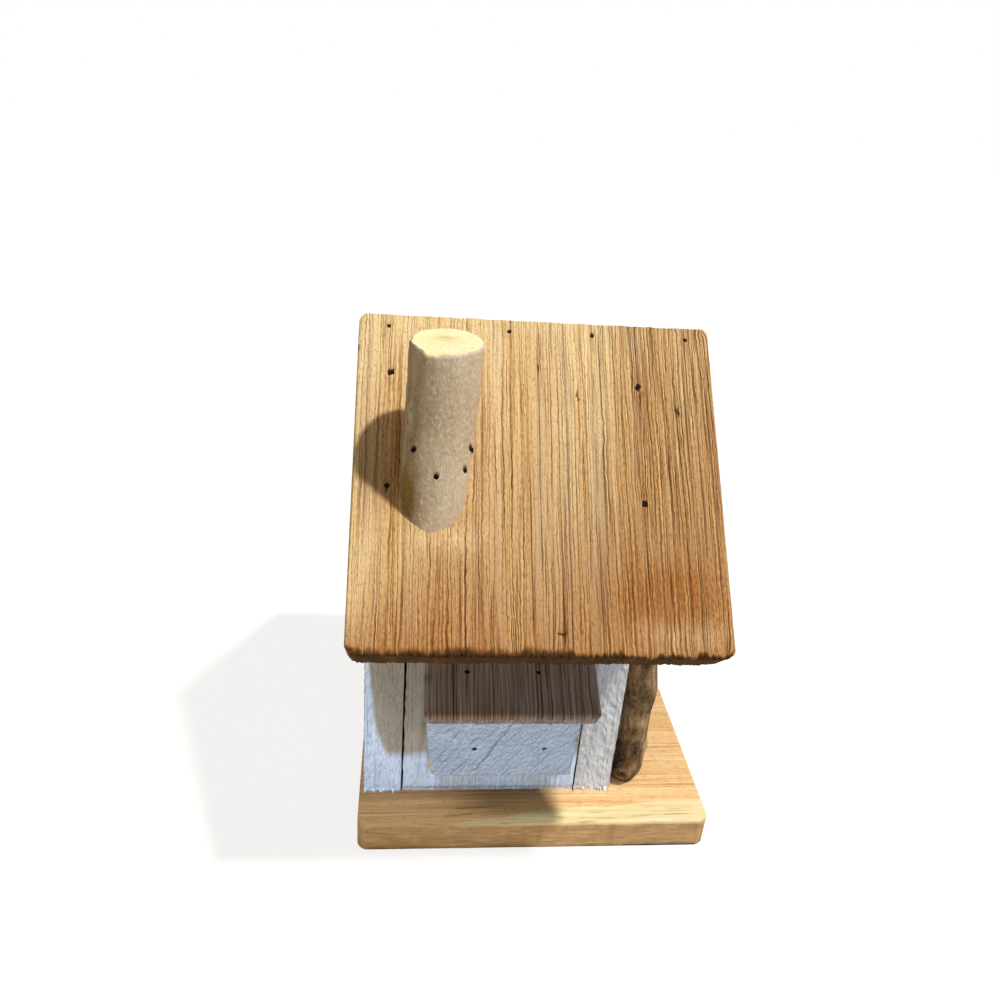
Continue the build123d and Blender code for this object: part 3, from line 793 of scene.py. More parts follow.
def end_wall(name, seed, low, high, tear):
    """Gable board in its own directions: x across its width, y up, z out of the painted face."""
    width, height, thick = high[1] - low[1], high[2] - low[2], high[0] - low[0]
    board = plank(
        name,
        spread(-width / 2, width / 2, 1.6),
        spread(0, height, 1.1, rim=(0.4, 0.8, 1.2, 1.6, 2.0, 2.6)),
        np.linspace(thick, 0, 41),
    )
    (px, py, pz), (x, y, z), face = board_points(board)
    side, inner = np.abs(px) > width / 2 - 0.01, pz < -thick + 0.01
    lane = np.where(side, pz, x)
    torn = cloud((lane + 0.45 * y) / 1.1, (y - 0.45 * lane) / 2.8, seed + 1)
    rough = 0.12 * cloud(lane / 1.3, y / 30, seed) + tear * torn - 0.15
    x = x + np.where(side, np.sign(x) * rough, 0)
    z = z + np.where(face, rough, 0)
    rim = (side & face) * (0.5 + 0.3 * wander(y / 4, seed + 2))
    x, z = x - np.sign(x) * rim, z - np.minimum(rim, 0.42)
    tuft = smooth(wander(lane / 0.75, seed + 3, 5), 0.1, 0.55)
    low_rows = np.clip(1 - py / TUFT_HEIGHT, 0, 1) ** 2
    x = x + np.where(side, np.sign(x) * TUFT_LENGTH * tuft * low_rows, 0)
    splinter = SPLINTER * (1 - tuft) * smooth(wander(lane / 1.6, seed + 3, 8), -0.2, 0.4)
    y = y + np.where(side & (py < 0.01), splinter, 0)
    move_points(board, x, y, z)
    keep_grain(board, x + z, y, z)
    inset = width / 2 - np.abs(px)
    worn = np.where(side & face, 0.6, 0) + np.where(side, 0.9 * low_rows * (tuft > 0.5) * (py < 0.5), 0)
    # Painted shade: the last term darkens the paint towards the top, under the eave.
    worn = worn + 0.2 * smooth(cloud(x / 14, y / 40, seed + 4), 0.2, 0.8) + 0.3 * smooth(y, 45, 110)
    # Painted shade: the inner face is laid dark within about 20 mm of its edges, where it shows in the joints.
    streak = inner * (1 - smooth(inset, 17, 20)) + np.where(side & (py < 0.3), 0.5 * (1 - tuft), 0)
    keep_marks(board, bare=inner * smooth(inset, 2, 7), worn=np.clip(worn, 0, 1), streak=streak)
    for sign in (-1, 1):
        cut_away(board, ridge_under - low[2] - ROOF_GAP, (sign * LEAN_OUT, LEAN_UP, 0))
    return board


# Board directions seen from the outside of each wall, as columns of a turn
TURN_FRONT = Matrix(((0, 0, 1), (1, 0, 0), (0, 1, 0)))
TURN_REAR = Matrix(((0, 0, -1), (-1, 0, 0), (0, 1, 0)))
TURN_NEAR = Matrix(((1, 0, 0), (0, 0, -1), (0, 1, 0)))
TURN_FAR = Matrix(((-1, 0, 0), (0, 0, 1), (0, 1, 0)))

# %% Rear wall
rear_low, rear_high = node_box("rear_wall")
rear = end_wall("rear_board", 11, rear_low, rear_high, 0.2)
settle(rear, "house", "rear_wall", whitewash, TURN_REAR, (rear_low[0], 0, rear_low[2]))

# %% [markdown]
# ## The entrance
# The front board gets a round hole with a softened rim. A cylinder a little longer than the board is taken
# away with a Boolean modifier, which suits a round hole that crosses the rows of the grid, and a short cone
# softens the outer rim. The new points inside the hole get marks of their own, since the hole was drilled
# through the paint into bare wood.

# %% Front wall
ENTRANCE_RADIUS, ENTRANCE_HEIGHT = 14.3, 95.0
front_low, front_high = node_box("front_wall")
front = end_wall("front_board", 21, front_low, front_high, 0.3)
wall_thickness = front_high[0] - front_low[0]


def drill(piece, radius_in, radius_out, low, high):
    """Takes a round hole, which may widen, out of a piece between two depths along its z."""
    bpy.ops.object.select_all(action="DESELECT")
    bpy.ops.mesh.primitive_cone_add(
        vertices=72,
        radius1=radius_in / MM,
        radius2=radius_out / MM,
        depth=(high - low) / MM,
        location=(0, ENTRANCE_HEIGHT / MM, (low + high) / 2 / MM),
    )
    cutter = bpy.context.object
    hole = piece.modifiers.new("hole", "BOOLEAN")
    hole.operation = "DIFFERENCE"
    hole.object = cutter
    only(piece)
    bpy.ops.object.modifier_apply(modifier=hole.name)
    bpy.data.objects.remove(cutter)


drill(front, ENTRANCE_RADIUS, ENTRANCE_RADIUS, -wall_thickness - 2, 2)
drill(front, ENTRANCE_RADIUS - 1, ENTRANCE_RADIUS + 3, -2.5, 1.5)
px, py, pz = read_points(front).T * MM
bare = np.empty(len(px), np.float32)
front.data.attributes["bare"].data.foreach_get("value", bare)
from_hole = np.hypot(px, py - ENTRANCE_HEIGHT)
keep_marks(front, bare=np.maximum(bare, 1 - smooth(from_hole, ENTRANCE_RADIUS, ENTRANCE_RADIUS + 1.4)))
keep_grain(front, px + pz, py, pz)
settle(front, "house", "front_wall", whitewash, TURN_FRONT, (front_high[0], 0, front_low[2]))

# %% [markdown]
# ## The side walls
# The near side wall stands between the end walls. Its joint at the rear has opened to a dark gap that is wider
# at the top, and the front joint shows as a thin line; the side faces in both joints are painted near black as
# painted shade. Coarse ribs from the saw run up its face. They are carved, with columns of points beside each,
# because a bump in the finish would be lost in the slanting light.

# %% Near side wall
RIB_STEP, RIB_DEPTH, RIM_DROP, FOOT_DROP = 2.8, 0.5, 0.4, 0.7
near_low, near_high = node_box("near_wall")
near_size = near_high - near_low
rib_rng = np.random.default_rng(35)
rib_places = np.arange(-48.0, 21.0, RIB_STEP) + rib_rng.uniform(-0.5, 0.5, 25)
near = plank(
    "near_board",
    spread(near_low[0], near_high[0], 0.8, lines=rib_places, rim=(0.3, 0.6, 1.0)),
    spread(0, near_size[2], 1.6),
    (near_size[1], 14, 9, 5, 3, 2, 1.1, 0.0),
)
(px, py, pz), (x, y, z), face = board_points(near)
saw = cloud(x / 1.25 + y / 60, y / 30, 31)
rib_lines = [(place, rib_rng.uniform(0.5, 1.0), -99, 99) for place in rib_places]
ribs = carved(x + 0.3 * wander(y / 9, 37), 0 * x, rib_lines)
ribs = ribs * (1 - 0.8 * smooth(y, 34, 50)) * (0.6 + 0.4 * cloud(x / 3, y / 8, 38))
z = z + np.where(face, 0.16 * saw + 0.1 * cloud(x / 1.6, y / 2.2, 32) - RIB_DEPTH * ribs - 0.1, 0)
rear_gap = 0.6 + 0.5 * np.clip(y / 140, 0, 1) + 0.25 * wander(y / 4, 33)
front_gap = 0.35 + 0.12 * wander(y / 7, 34)
joint = (px < near_low[0] + 0.01) | (px > near_high[0] - 0.01)
outer = smooth(pz, -13, -9)
x = x + outer * rear_gap * np.clip(1 - (px - near_low[0]) / 2.5, 0, 1)
x = x - outer * front_gap * np.clip(1 - (near_high[0] - px) / 1.5, 0, 1)
z = z - np.where(face & joint, RIM_DROP, 0) - np.where(face, FOOT_DROP * (1 - smooth(y, 0.5, 3.5)), 0)
move_points(near, x, y, z)
keep_grain(near, px + pz, py, pz)
below_block = smooth(x, -50, -46) * (1 - smooth(x, 8, 14)) * (1 - smooth(y, 30, 36))
# Painted shade: the paint darkens towards the top, under the eave, and below the block, where its shadow falls.
worn = 0.15 * smooth(-saw, 0.2, 0.8) + 0.35 * smooth(y, 40, 100) + 0.3 * below_block
# Painted shade: below the block through shade and worn, and near black on the side faces of both joints through
# streak.
keep_marks(
    near,
    bare=smooth(-pz, 5.0, 9.0),
    shade=np.where(face, 0.3 * below_block, 0),
    worn=np.where(face, worn, 0),
    streak=np.where(face, 0.5 * np.clip(ribs, 0, 1), 0) + 0.95 * (joint & ~face),
)
near_top = ridge_under - near_low[2] + near_low[1] * math.tan(ROOF_PITCH) - ROOF_GAP
cut_away(near, near_top, (0, LEAN_UP, LEAN_OUT))
settle(near, "house", "near_wall", whitewash, TURN_NEAR, (0, near_low[1], near_low[2]))

# %% [markdown]
# The far wall swings out for cleaning. The photograph doesn't show it, so it is a plain painted board with
# eased edges and a wider grid, and bare on the inside. It rides on a body of its own.

# %% Swinging wall
SWING_RIM = 0.9
far_low, far_high = node_box("cleanout_wall")
far_size = far_high - far_low
swing = plank(
    "swing_board",
    spread(-far_size[0] / 2, far_size[0] / 2, 1.2),
    spread(0, far_size[2], 2.0),
    (far_size[1], 16, 11, 6, 3, 1.2, 0.5, 0.0),
)
(px, py, pz), (x, y, z), face = board_points(swing)
edge = np.minimum.reduce([x + far_size[0] / 2, far_size[0] / 2 - x, y, far_size[2] - y])
saw = cloud(x / 1.6, y / 30, 36)
relief = 0.18 * saw - rim_drop(edge, SWING_RIM) - 0.18
z = z + np.where(face, relief, -SWING_RIM * (1 + pz / far_size[1]))
move_points(swing, x, y, z)
keep_grain(swing, x + z, y, z)
worn = np.where(face, 0.3 * smooth(-saw, 0.2, 0.8) + 0.5 * (edge < 0.6), 0)
keep_marks(swing, bare=smooth(-pz, 1.5, 4.0), worn=worn)
swing_at = ((far_low[0] + far_high[0]) / 2, far_high[1], far_low[2])
settle(swing, "swing_wall", "cleanout_wall", whitewash, TURN_FAR, swing_at)

# %% [markdown]
# ## The roof boards
# Both are thick sawn boards with the grain down the slope. The columns of the grid stand close, since the
# carved lines run along them, and the rows are wide apart except at the rims and nails. The eave end is
# frayed: each line of the grain ends a little further out or in than its neighbour.

# %% Roof helper
ROOF_CORNER, ROOF_RIM = 5.0, 1.3
ROOF_PIT, RIDGE_PIT, RIDGE_ROW = 2.4, 1.7, 16.0
CRACK_DEPTH, SCRATCH_DEPTH, PIT_DEPTH = 0.4, 0.5, 1.2
SIDE_CUTS, EAVE_CUTS = (0.3, 0.7, 1.1), (0.4, 0.8, 1.2, 1.8, 2.4, 3.0, 3.6, 4.4)
ROOF_DEPTHS = (roof_thickness, 17, 14, 11, 8, 5.5, 3.5, 2.0, 1.0, 0.0)
roof_mid = (roof_low[0] + roof_high[0]) / 2
roof_half = (roof_high[0] - roof_low[0]) / 2


def crack_lines(seed, places, length):
    """Carved lines of the grain: place across the board, strength, and where each starts and stops."""
    rng = np.random.default_rng(seed)
    lines = []
    for place, strength in places:
        size = rng.uniform(0.45, 1.1) * length
        start = -length + rng.uniform(-0.15, 1.0) * (length - min(size, length))
        lines.append((place, strength * rng.uniform(0.8, 1.1), start, start + size))
    return lines


def roof_shape(name, seed, length, nail_places, cracks, scratches):
    """Roof board with its top at z = 0 and y running from 0 at the ridge down to -length."""
    nails_x, nails_y = [a for a, _ in nail_places], [b for _, b in nail_places]
    columns = spread(-roof_half, roof_half, 0.9, nails_x, [line[0] for line in cracks], SIDE_CUTS)
    rows = spread(-length, 0, 3.0, nails_y, [(s[1] + s[3]) / 2 for s in scratches], EAVE_CUTS)
    board = plank(name, columns, rows, ROOF_DEPTHS)
    (px, py, pz), (x, y, z), top = board_points(board)
    x, y = rounded_plan(x, y, (-roof_half, -length), (roof_half, 0), ROOF_CORNER)
    edge = np.minimum.reduce([x + roof_half, roof_half - x, y + length, -y])
    mark = carved(px, py, cracks) * (0.25 + 0.75 * smooth(cloud(px / 2.0, py / 22, seed + 3), -0.7, 0.5))
    scratch = dashes(px, py, scratches)
    pit_sizes = [RIDGE_PIT if b > -RIDGE_ROW else ROOF_PIT for b in nails_y]
    pit, rim = pits(px, py, nail_places, pit_sizes, seed + 4)
    ridge, wave = cloud(px / 1.8, py / 60, seed + 5), cloud(px / 16, py / 60, seed + 6)
    fuzz = cloud(px / 1.8, py / 2.6, seed + 13)
    relief = 0.12 * ridge + 0.2 * wave + 0.07 * fuzz
    relief = relief - CRACK_DEPTH * mark - SCRATCH_DEPTH * scratch - PIT_DEPTH * pit
    z = z + np.where(top, relief, 0)
    fall = rim_drop(edge, ROOF_RIM) * (1 + 0.3 * cloud(x / 3, y / 3, seed + 7))
    z = z - np.where(top, fall, (1.3 * ROOF_RIM + 1.0) * (1 + pz / roof_thickness))
    sway = 0.35 * cloud(px / 9, py / 40, seed + 14) + 0.14 * cloud(px / 2.5, py / 7, seed + 15)
    nearest_nail = np.min([np.hypot(px - a, py - b) for a, b in nail_places], axis=0)
    x = x + sway * smooth(edge, 0.5, 4) * (1.0 - spot(nearest_nail / 3))
    tail = np.clip(1 - (py + length) / 5.0, 0, 1)
    fray = cloud(px / 0.9, pz / 5.0, seed + 8) + 0.6 * cloud(px / 4, pz / 9, seed + 9)
    y = y + tail * 0.32 * (fray + 0.9)
    z = z - np.where(top, tail**2 * 0.8 * np.maximum(0, wander(px / 1.4, seed + 10)), 0)
    side = (np.abs(px) > roof_half - 0.01) & ~top
    x = x - np.where(side, np.sign(x) * (0.15 + 0.15 * cloud(y / 2.5, pz / 2.5, seed + 11)), 0)
    move_points(board, x, y, z)
    wrap = np.where(side, -pz * np.sign(px), 0)
    keep_grain(board, px + wrap, py, pz * np.where(side, 1, 0.3))
    keep_marks(board, streak=np.clip(np.maximum.reduce([mark * 0.6, scratch, pit]) * top, 0, 1))
    return board, (px, py, pz), top, wave, rim


# %% [markdown]
# The marks of the roof say where it is brown, pale, rough or dark, by shares of the board's width and length.
# The wood darkens towards the eave, the saw left it rougher towards the front, each nail has a brown halo, the
# eave's end face gets painted shade, and only the near board has the spots that the photograph shows.

# %% Roof marks


def roof_board(name, seed, length, nail_places, cracks, scratches, spots):
    """A roof board with its shape and its marks; spots is 1 or 0."""
    board, (px, py, pz), top, wave, rim = roof_shape(name, seed, length, nail_places, cracks, scratches)
    u, v = (px + roof_half) / (2 * roof_half), -py / length
    stain = spot((u - 0.84) / 0.12, (v - 0.83) / 0.1)
    corner = (1 - smooth(u, 0.0, 0.3)) * spot((v - 0.74) / 0.16)
    halo = np.max([spot((px - a) / 1.8, (py - b) / 7) for a, b in nail_places], axis=0)
    brown = 0.1 + 0.73 * v + 0.42 * (1 - v) * smooth(u, 0.66, 0.78)
    brown = brown + spots * (0.28 * stain - 0.3 * corner) + 0.1 * wave + 0.3 * halo
    rough = smooth(u, 0.55, 0.72) * (1 - 0.7 * smooth(v, 0.45, 0.75)) * (0.75 + 0.25 * wave)
    foot = spot(((u - 0.25) / 0.1) ** 2, (v - 0.68) / 0.035)
    heel, rear_spot = spot((u - 0.85) / 0.13, (v - 0.94) / 0.04), spot(u / 0.04, (v - 0.83) / 0.09)
    pale = spots * (0.75 * foot + 0.55 * heel + 0.6 * rear_spot) + 0.25 * (1 - smooth(v, 0.02, 0.25))
    pale = pale * (0.55 + 0.45 * cloud(px / 1.5, py / 12, seed + 12))
    # Painted shade: the end face of the eave is made fully dark, and a band along the eave on top is darkened.
    end_face = (py < -length + 0.01) & (pz < -0.5)
    from_eave = py + length + 0.9 * wander(px / 5, seed + 16, 9) + 1.3 * cloud(px / 1.4, py / 6, seed + 17)
    band = 1.3 * np.clip(1 - from_eave / (4.4 - 2.2 * smooth(u, 0.4, 0.85)), 0, 1)
    shaded_end_and_dark_band = np.where(end_face, 1.0, 0) + np.where(top, band, 0)
    notch = spot((px + roof_half) / 1.2, (py + 17) / 1.6)
    keep_marks(
        board,
        brown=np.where(top, np.clip(brown, 0, 0.95), 0.6),
        rough=np.where(top, np.clip(rough, 0, 1), 0),
        pale=np.where(top, np.clip(pale + 0.15 * rim, 0, 1), 0),
        dirt=np.clip(np.maximum(shaded_end_and_dark_band, 0.9 * notch), 0, 1.2),
    )
    return board


# %% [markdown]
# The nails of the near board stand in two rows over the end walls and one row along the ridge. Their places
# are read from the heads of the CAD nails, turned into the board's own directions, so each pit lies over
# its nail.

# %% Nail places
HEAD_SIZE = 3.2


def nail_heads(node, turn, at, height=False):
    """Middle of each nail head of a CAD node, and its height, in the directions of a board at that place."""
    back = turn.transposed()
    groups = []
    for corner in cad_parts[node].data.vertices:
        point = np.array(back @ (corner.co * MM - Vector(at)))
        group = next((g for g in groups if np.hypot(*(g[0] - point)[:2]) < HEAD_SIZE), None)
        if group is None:
            groups.append([point])
        else:
            group.append(point)
    heads = []
    for group in groups:
        low, high = np.min(group, axis=0), np.max(group, axis=0)
        heads.append((*(low + high)[:2] / 2, high[2]))
    return heads if height else [head[:2] for head in heads]


NEAR_SLOPE = Matrix.Rotation(ROOF_PITCH, 3, "X")
roof_at = (roof_mid, 0, ridge_top)
near_places = nail_heads("ridge_nails", NEAR_SLOPE, roof_at)
near_places += nail_heads("near_roof_nails", NEAR_SLOPE, roof_at)
print("nails in the near roof board:", len(near_places))

# %% [markdown]
# The near board is the one that the photograph shows, so its cracks and scratches are given by their places:
# strong ones on the right, where the wood has opened, and weak ones on the left. The far board gets random
# ones.

# %% Near roof board
STRONG = (
    -20.2, -12.5, -4.4, -0.3, 2.5, 8, 11.5, 15, 18, 20, 24, 27, 33.5, 39, 44, 47.3,
    52.5, 55.5, 58, 61, 65, 69.4, 74.4,
)
WEAK = (
    -73, -66.5, -62.5, -56.5, -52.6, -49.8, -47.7, -41, -37, -33.4, -30.5, -26, -24.5,
    36.2, 41.6, 50, 63, 71.8,
)
NEAR_SCRATCHES = (
    (60.4, -41.0, 62.2, -42.6, 0.45),
    (61.6, -41.0, 61.1, -43.0, 0.4),
    (16.2, -35.8, 17.5, -38.3, 0.35),
    (5.6, -139.8, 8.4, -140.3, 0.4),
    (8.4, -140.3, 8.6, -138.2, 0.35),
    (-0.4, -22.6, -0.3, -23.6, 0.4),
)
near_length = -roof_low[1] / math.cos(ROOF_PITCH)
near_cracks = crack_lines(51, [(s, 1.0) for s in STRONG] + [(w, 0.6) for w in WEAK], near_length)
near_roof = roof_board("near_roof", 60, near_length, near_places, near_cracks, NEAR_SCRATCHES, 1)
settle(near_roof, "house", "near_roof_board", roof_wood, NEAR_SLOPE, roof_at)

# %% Far roof board
FAR_SCRATCHES = ((20.0, -60.0, 21.5, -62.0, 0.4),)
FAR_SLOPE = Matrix.Rotation(math.pi, 3, "Z") @ NEAR_SLOPE
far_eave = node_box("far_roof_board")[1][1]
seat = roof_thickness * math.sin(ROOF_PITCH)
far_at = (roof_mid, seat, ridge_top - seat)
far_length = (far_eave - seat) / math.cos(ROOF_PITCH)
far_places = nail_heads("far_roof_nails", FAR_SLOPE, far_at)
across = np.random.default_rng(53).uniform(-76, 76, 34)
far_cracks = crack_lines(54, [(place, 0.8) for place in across], far_length)
far_roof = roof_board("far_roof", 80, far_length, far_places, far_cracks, FAR_SCRATCHES, 0)
settle(far_roof, "house", "far_roof_board", roof_wood, FAR_SLOPE, far_at)

# %% [markdown]
# ## Round branches
# A branch starts as a disc that is extruded upwards ring by ring, and its upper end is inset a few times so
# that the cut face has points of its own. Each ring is then moved and swollen by the formula of the branch.

# %% Branch helpers


def branch(name, around, rings, cap_insets):
    """A closed cylinder of radius 1 and height 1 with rings along its side and inset rings on its upper end."""
    bpy.ops.object.select_all(action="DESELECT")
    bpy.ops.mesh.primitive_circle_add(vertices=around, radius=1, fill_type="NGON")
    stick = bpy.context.object
    stick.name = stick.data.name = name
    bpy.ops.object.mode_set(mode="EDIT")
    for _ in range(rings):
        bpy.ops.mesh.extrude_region_move(TRANSFORM_OT_translate={"value": (0, 0, 1 / rings)})
    for _ in range(cap_insets):
        bpy.ops.mesh.inset(thickness=1 / (cap_insets + 1.5))
    close_below()
    return stick


def round_points(stick):
    """Distance from the axis, angle about it and height of each point of a branch."""
    px, py, up = read_points(stick).T
    return np.hypot(px, py), np.arctan2(py, px), up


def turned(angle, start):
    """Angle from a start, between minus and plus half a turn."""
    return np.angle(np.exp(1j * (angle - start)))


# %% [markdown]
# ## The chimney
# The peeled branch is cut to the roof's slope at its foot. Its top was sawn slightly askew, and a chip has
# broken out of the rim on the near left. The formula stretches each upright line of points between the two
# cuts.

# %% Chimney
FOOT_RADIUS, TOP_RADIUS, TOP_RISE = 14.0, 14.5, 5.0
FOOT_SHIFT, CHIP_DEPTH, GRAIN_RADIUS = 2.0, 1.6, 15.0
TOP_TILT, LEAN = math.radians(4.0), math.radians(2.8)
chimney_low, chimney_high = node_box("chimney")
chimney_y = (chimney_low[1] + chimney_high[1]) / 2
top_x = chimney_high[0] - TOP_RADIUS * math.cos(LEAN)
top_z = ridge_top + TOP_RISE
stick = branch("chimney_branch", 220, 150, 12)
radius, angle, up = round_points(stick)
size = FOOT_RADIUS + (TOP_RADIUS - FOOT_RADIUS) * up
bulge = 0.3 * cloud(angle * 1.6 + 9, up * 3.1, 91) + 0.12 * cloud(angle * 7 + 40, up * 9, 92)
bulge = bulge + 0.09 * cloud(angle * 11 + 60, up * 40, 94)
swell = 0.8 * spot(turned(angle, -2.7) / 0.6, (up - 0.25) / 0.2)
skin = smooth(radius, 0.985, 0.999)
r = radius * (size + bulge + swell - 0.05) - 0.5 * skin * smooth(up, 0.99, 1.0)
x, y = r * np.cos(angle), chimney_y + r * np.sin(angle) - FOOT_SHIFT * (1 - up)
foot = ridge_top + y * math.tan(ROOF_PITCH) + 0.05
chip = spot((np.cos(angle + 2.0) - 1) / 0.035) * smooth(radius, 0.75, 1.0)
ragged = 0.35 * wander(angle * 6 + 80, 95) * smooth(radius, 0.9, 1.0)
head = top_z + (y - chimney_y) * math.tan(TOP_TILT)
head = head - CHIP_DEPTH * chip - 0.12 * skin + 0.07 * cloud(x / 1.4, y / 1.4, 93) + ragged
z = foot + (head - foot) * up
x = x + top_x + (z - top_z) * math.tan(LEAN) + 0.3 * np.sin(up * 4.0 + 0.5) * (1 - up)
print("chimney", round(top_z - foot.min(), 1), "mm tall")

# %% [markdown]
# The toe nails at the foot stand in pits with four corners. Each pit pushes the points back along its nail.

# %% Chimney pits
NAIL_WAY = np.array(NEAR_SLOPE.col[2])
DIAMOND = np.array(NEAR_SLOPE @ Matrix.Rotation(math.radians(50), 3, "Z"))
DOTS = ((-2.6, 0.62), (-2.75, 0.52), (-2.5, 0.46))
points, all_pits = np.stack([x, y, z], 1), np.zeros_like(x)
toe_nails = nail_heads("chimney_nails", NEAR_SLOPE, roof_at, True)
for across, along, high in toe_nails:
    heart = np.array(NEAR_SLOPE @ Vector((across, along, high))) + np.array(roof_at)
    level = (points - heart) @ NAIL_WAY
    a, b = (points - heart) @ DIAMOND.T[0], (points - heart) @ DIAMOND.T[1]
    away = (np.abs(a) ** 3 + np.abs(b) ** 3) ** (1 / 3)
    pit = (1 - smooth(away, 0.8, 1.15)) * smooth(level, -4.5, -2.5) * (1 - smooth(level, 3.5, 5.5))
    points = points - (pit * np.clip(level + 0.8, 0, 2.2))[:, None] * NAIL_WAY
    all_pits = np.maximum(all_pits, pit)
for start, rise in DOTS:
    away = np.hypot(turned(angle, start) * TOP_RADIUS, (up - rise) * 60)
    all_pits = np.maximum(all_pits, 0.6 * (1 - smooth(away, 0.4, 1.0)))
move_points(stick, *points.T)
keep_grain(stick, angle * GRAIN_RADIUS, z, radius * GRAIN_RADIUS)
print("toe nails in the chimney:", len(toe_nails))

# %% [markdown]
# The marks of the chimney tell its finish where the saw cut is, with the darker pith in it, and where painted
# shade darkens the left side and a patch near its foot to olive brown.

# %% Chimney marks
is_cut = (up > 0.999) & (radius < 0.985)
pith = spot((x - top_x + 1.0) / 4.5, (y - chimney_y - 3.0) / 2.2) * is_cut
# Painted shade: the side turned from the light, and a patch low on it, are darkened through inner.
shaded_left_side = 1 - smooth(np.abs(turned(angle, -2.75)), 0.35, 0.8)
inner = 0.9 * shaded_left_side * (0.7 + 0.3 * cloud(angle * 5 + 30, up * 7, 98))
inner = inner + 0.6 * spot(turned(angle, -2.45) / 0.35, (up - 0.12) / 0.14)
keep_marks(
    stick,
    cut=np.clip(is_cut + 0.8 * chip * (up > 0.999), 0, 1),
    pith=pith * (0.6 + 0.4 * cloud(x / 1.5, y / 1.0, 97)),
    inner=np.clip(inner, 0, 1),
    streak=all_pits,
)
settle(stick, "house", "chimney", peeled_branch)

# %% [markdown]
# ## The block and its little roof
# A thick block of painted wood on the near wall, wider at the top, carries a small shed roof. The block was
# sawn across at a slant, which left torn fibres and one long crack. Its face is made flat and rounded at one
# lower corner first, and widens towards the top at the end.

# %% Block
AWNING_PITCH = math.radians(30)
AWNING_UP, AWNING_OUT = math.cos(AWNING_PITCH), math.sin(AWNING_PITCH)
BLOCK_FLARE = math.tan(math.radians(4.0))
BLOCK_CORNER, BLOCK_RIM, BLOCK_FALL, BLOCK_PIT, BLOCK_SEAT = 5.0, 1.1, 1.7, 1.9, 0.8
CRACK_FROM, CRACK_TO = np.array([3.2, 30.5]), np.array([-11.9, 3.4])
block_low, block_high = node_box("bay_block")
awning_low, awning_high = node_box("awning_board")
block_size = block_high - block_low
block_half = block_size[0] / 2 - block_size[2] * BLOCK_FLARE
block_at = ((block_low[0] + block_high[0]) / 2, block_low[1], block_low[2])
block = plank(
    "block",
    spread(-block_half, block_half, 0.42, rim=(0.3, 0.7, 1.2)),
    spread(0, block_size[2] + 2, 0.42, rim=(0.3, 0.7, 1.2)),
    (block_size[1], 21, 16, 11, 7, 4, 2, 1, 0.4, 0.0),
)
(px, py, pz), (x, y, z), face = board_points(block)
gap_x, gap_y = np.maximum(0, BLOCK_CORNER - (px + block_half)), np.maximum(0, BLOCK_CORNER - py)
corner = np.hypot(gap_x, gap_y)
pull = np.maximum(0, corner - BLOCK_CORNER) / np.maximum(corner, 1e-6) * (gap_x > 0) * (gap_y > 0)
x, y = x + pull * gap_x, y + pull * gap_y
print("block", block_size.round(1), "mm")

# %% [markdown]
# The torn fibres lie along the slant of the saw, so their noise is turned. The crack follows a line between its
# two ends that wavers to the side.

# %% Block relief
slant_u, slant_v = px * 0.80 - py * 0.60, px * 0.60 + py * 0.80
torn, grit = cloud(slant_u / 1.1, slant_v / 1.9, 101), cloud(px / 1.1, py / 1.1, 102)
layers = 0.25 * smooth(px - 0.08 * py, -23.4, -22.8) - 0.2 * smooth(px, 19.0, 19.6)
plan, run = np.stack([px, py], 1), CRACK_TO - CRACK_FROM
along = np.clip((plan - CRACK_FROM) @ run / np.sum(run**2), 0, 1)
crack_side = run[::-1] / np.linalg.norm(run) * (1, -1)
wiggle = 0.4 * wander(along * 7, 106) + 0.45 * wander(along * 19, 107)
middle = CRACK_FROM + along[:, None] * run + wiggle[:, None] * crack_side
crack = spot(np.linalg.norm(plan - middle, axis=1) / 0.34) * (0.65 + 0.35 * wander(along * 13, 108))
edge = np.minimum.reduce([px + block_half, block_half - px, py])
relief = 0.2 * torn + 0.16 * grit + layers - 0.7 * crack - rim_drop(edge, BLOCK_RIM) - 0.4
pit, _ = pits(px, py, nail_heads("bay_nails", TURN_NEAR, block_at), BLOCK_PIT, 103)
z = z + np.where(face, relief, -BLOCK_FALL * (1 + pz / block_size[1])) - np.where(face, 0.7 * pit, 0)
move_points(block, x * (1 + y * BLOCK_FLARE / block_half), y, z)
keep_grain(block, slant_u + pz, slant_v * 4.0, pz)
chip = spot((px + block_half) / 2.0, (py - 6) / 5.0)
keep_marks(
    block,
    shade=np.full(len(px), 0.55),
    bare=np.clip(0.9 * chip + np.where(face, 0, 0.2) * smooth(grit, 0.0, 0.5), 0, 1),
    worn=np.where(face, 0.12 * smooth(-torn, 0.3, 0.9), 0.3),
    streak=np.where(face, np.clip(0.85 * crack + 0.9 * pit, 0, 1), 0),
)
cut_away(block, awning_low[2] + BLOCK_SEAT - block_low[2], (0, AWNING_UP, AWNING_OUT))
settle(block, "house", "bay_block", whitewash, TURN_NEAR, block_at)

# %% [markdown]
# The little roof is a thin weathered board with three deep cracks and many fine ones. Its rear end is cut
# upright where it meets the wall.

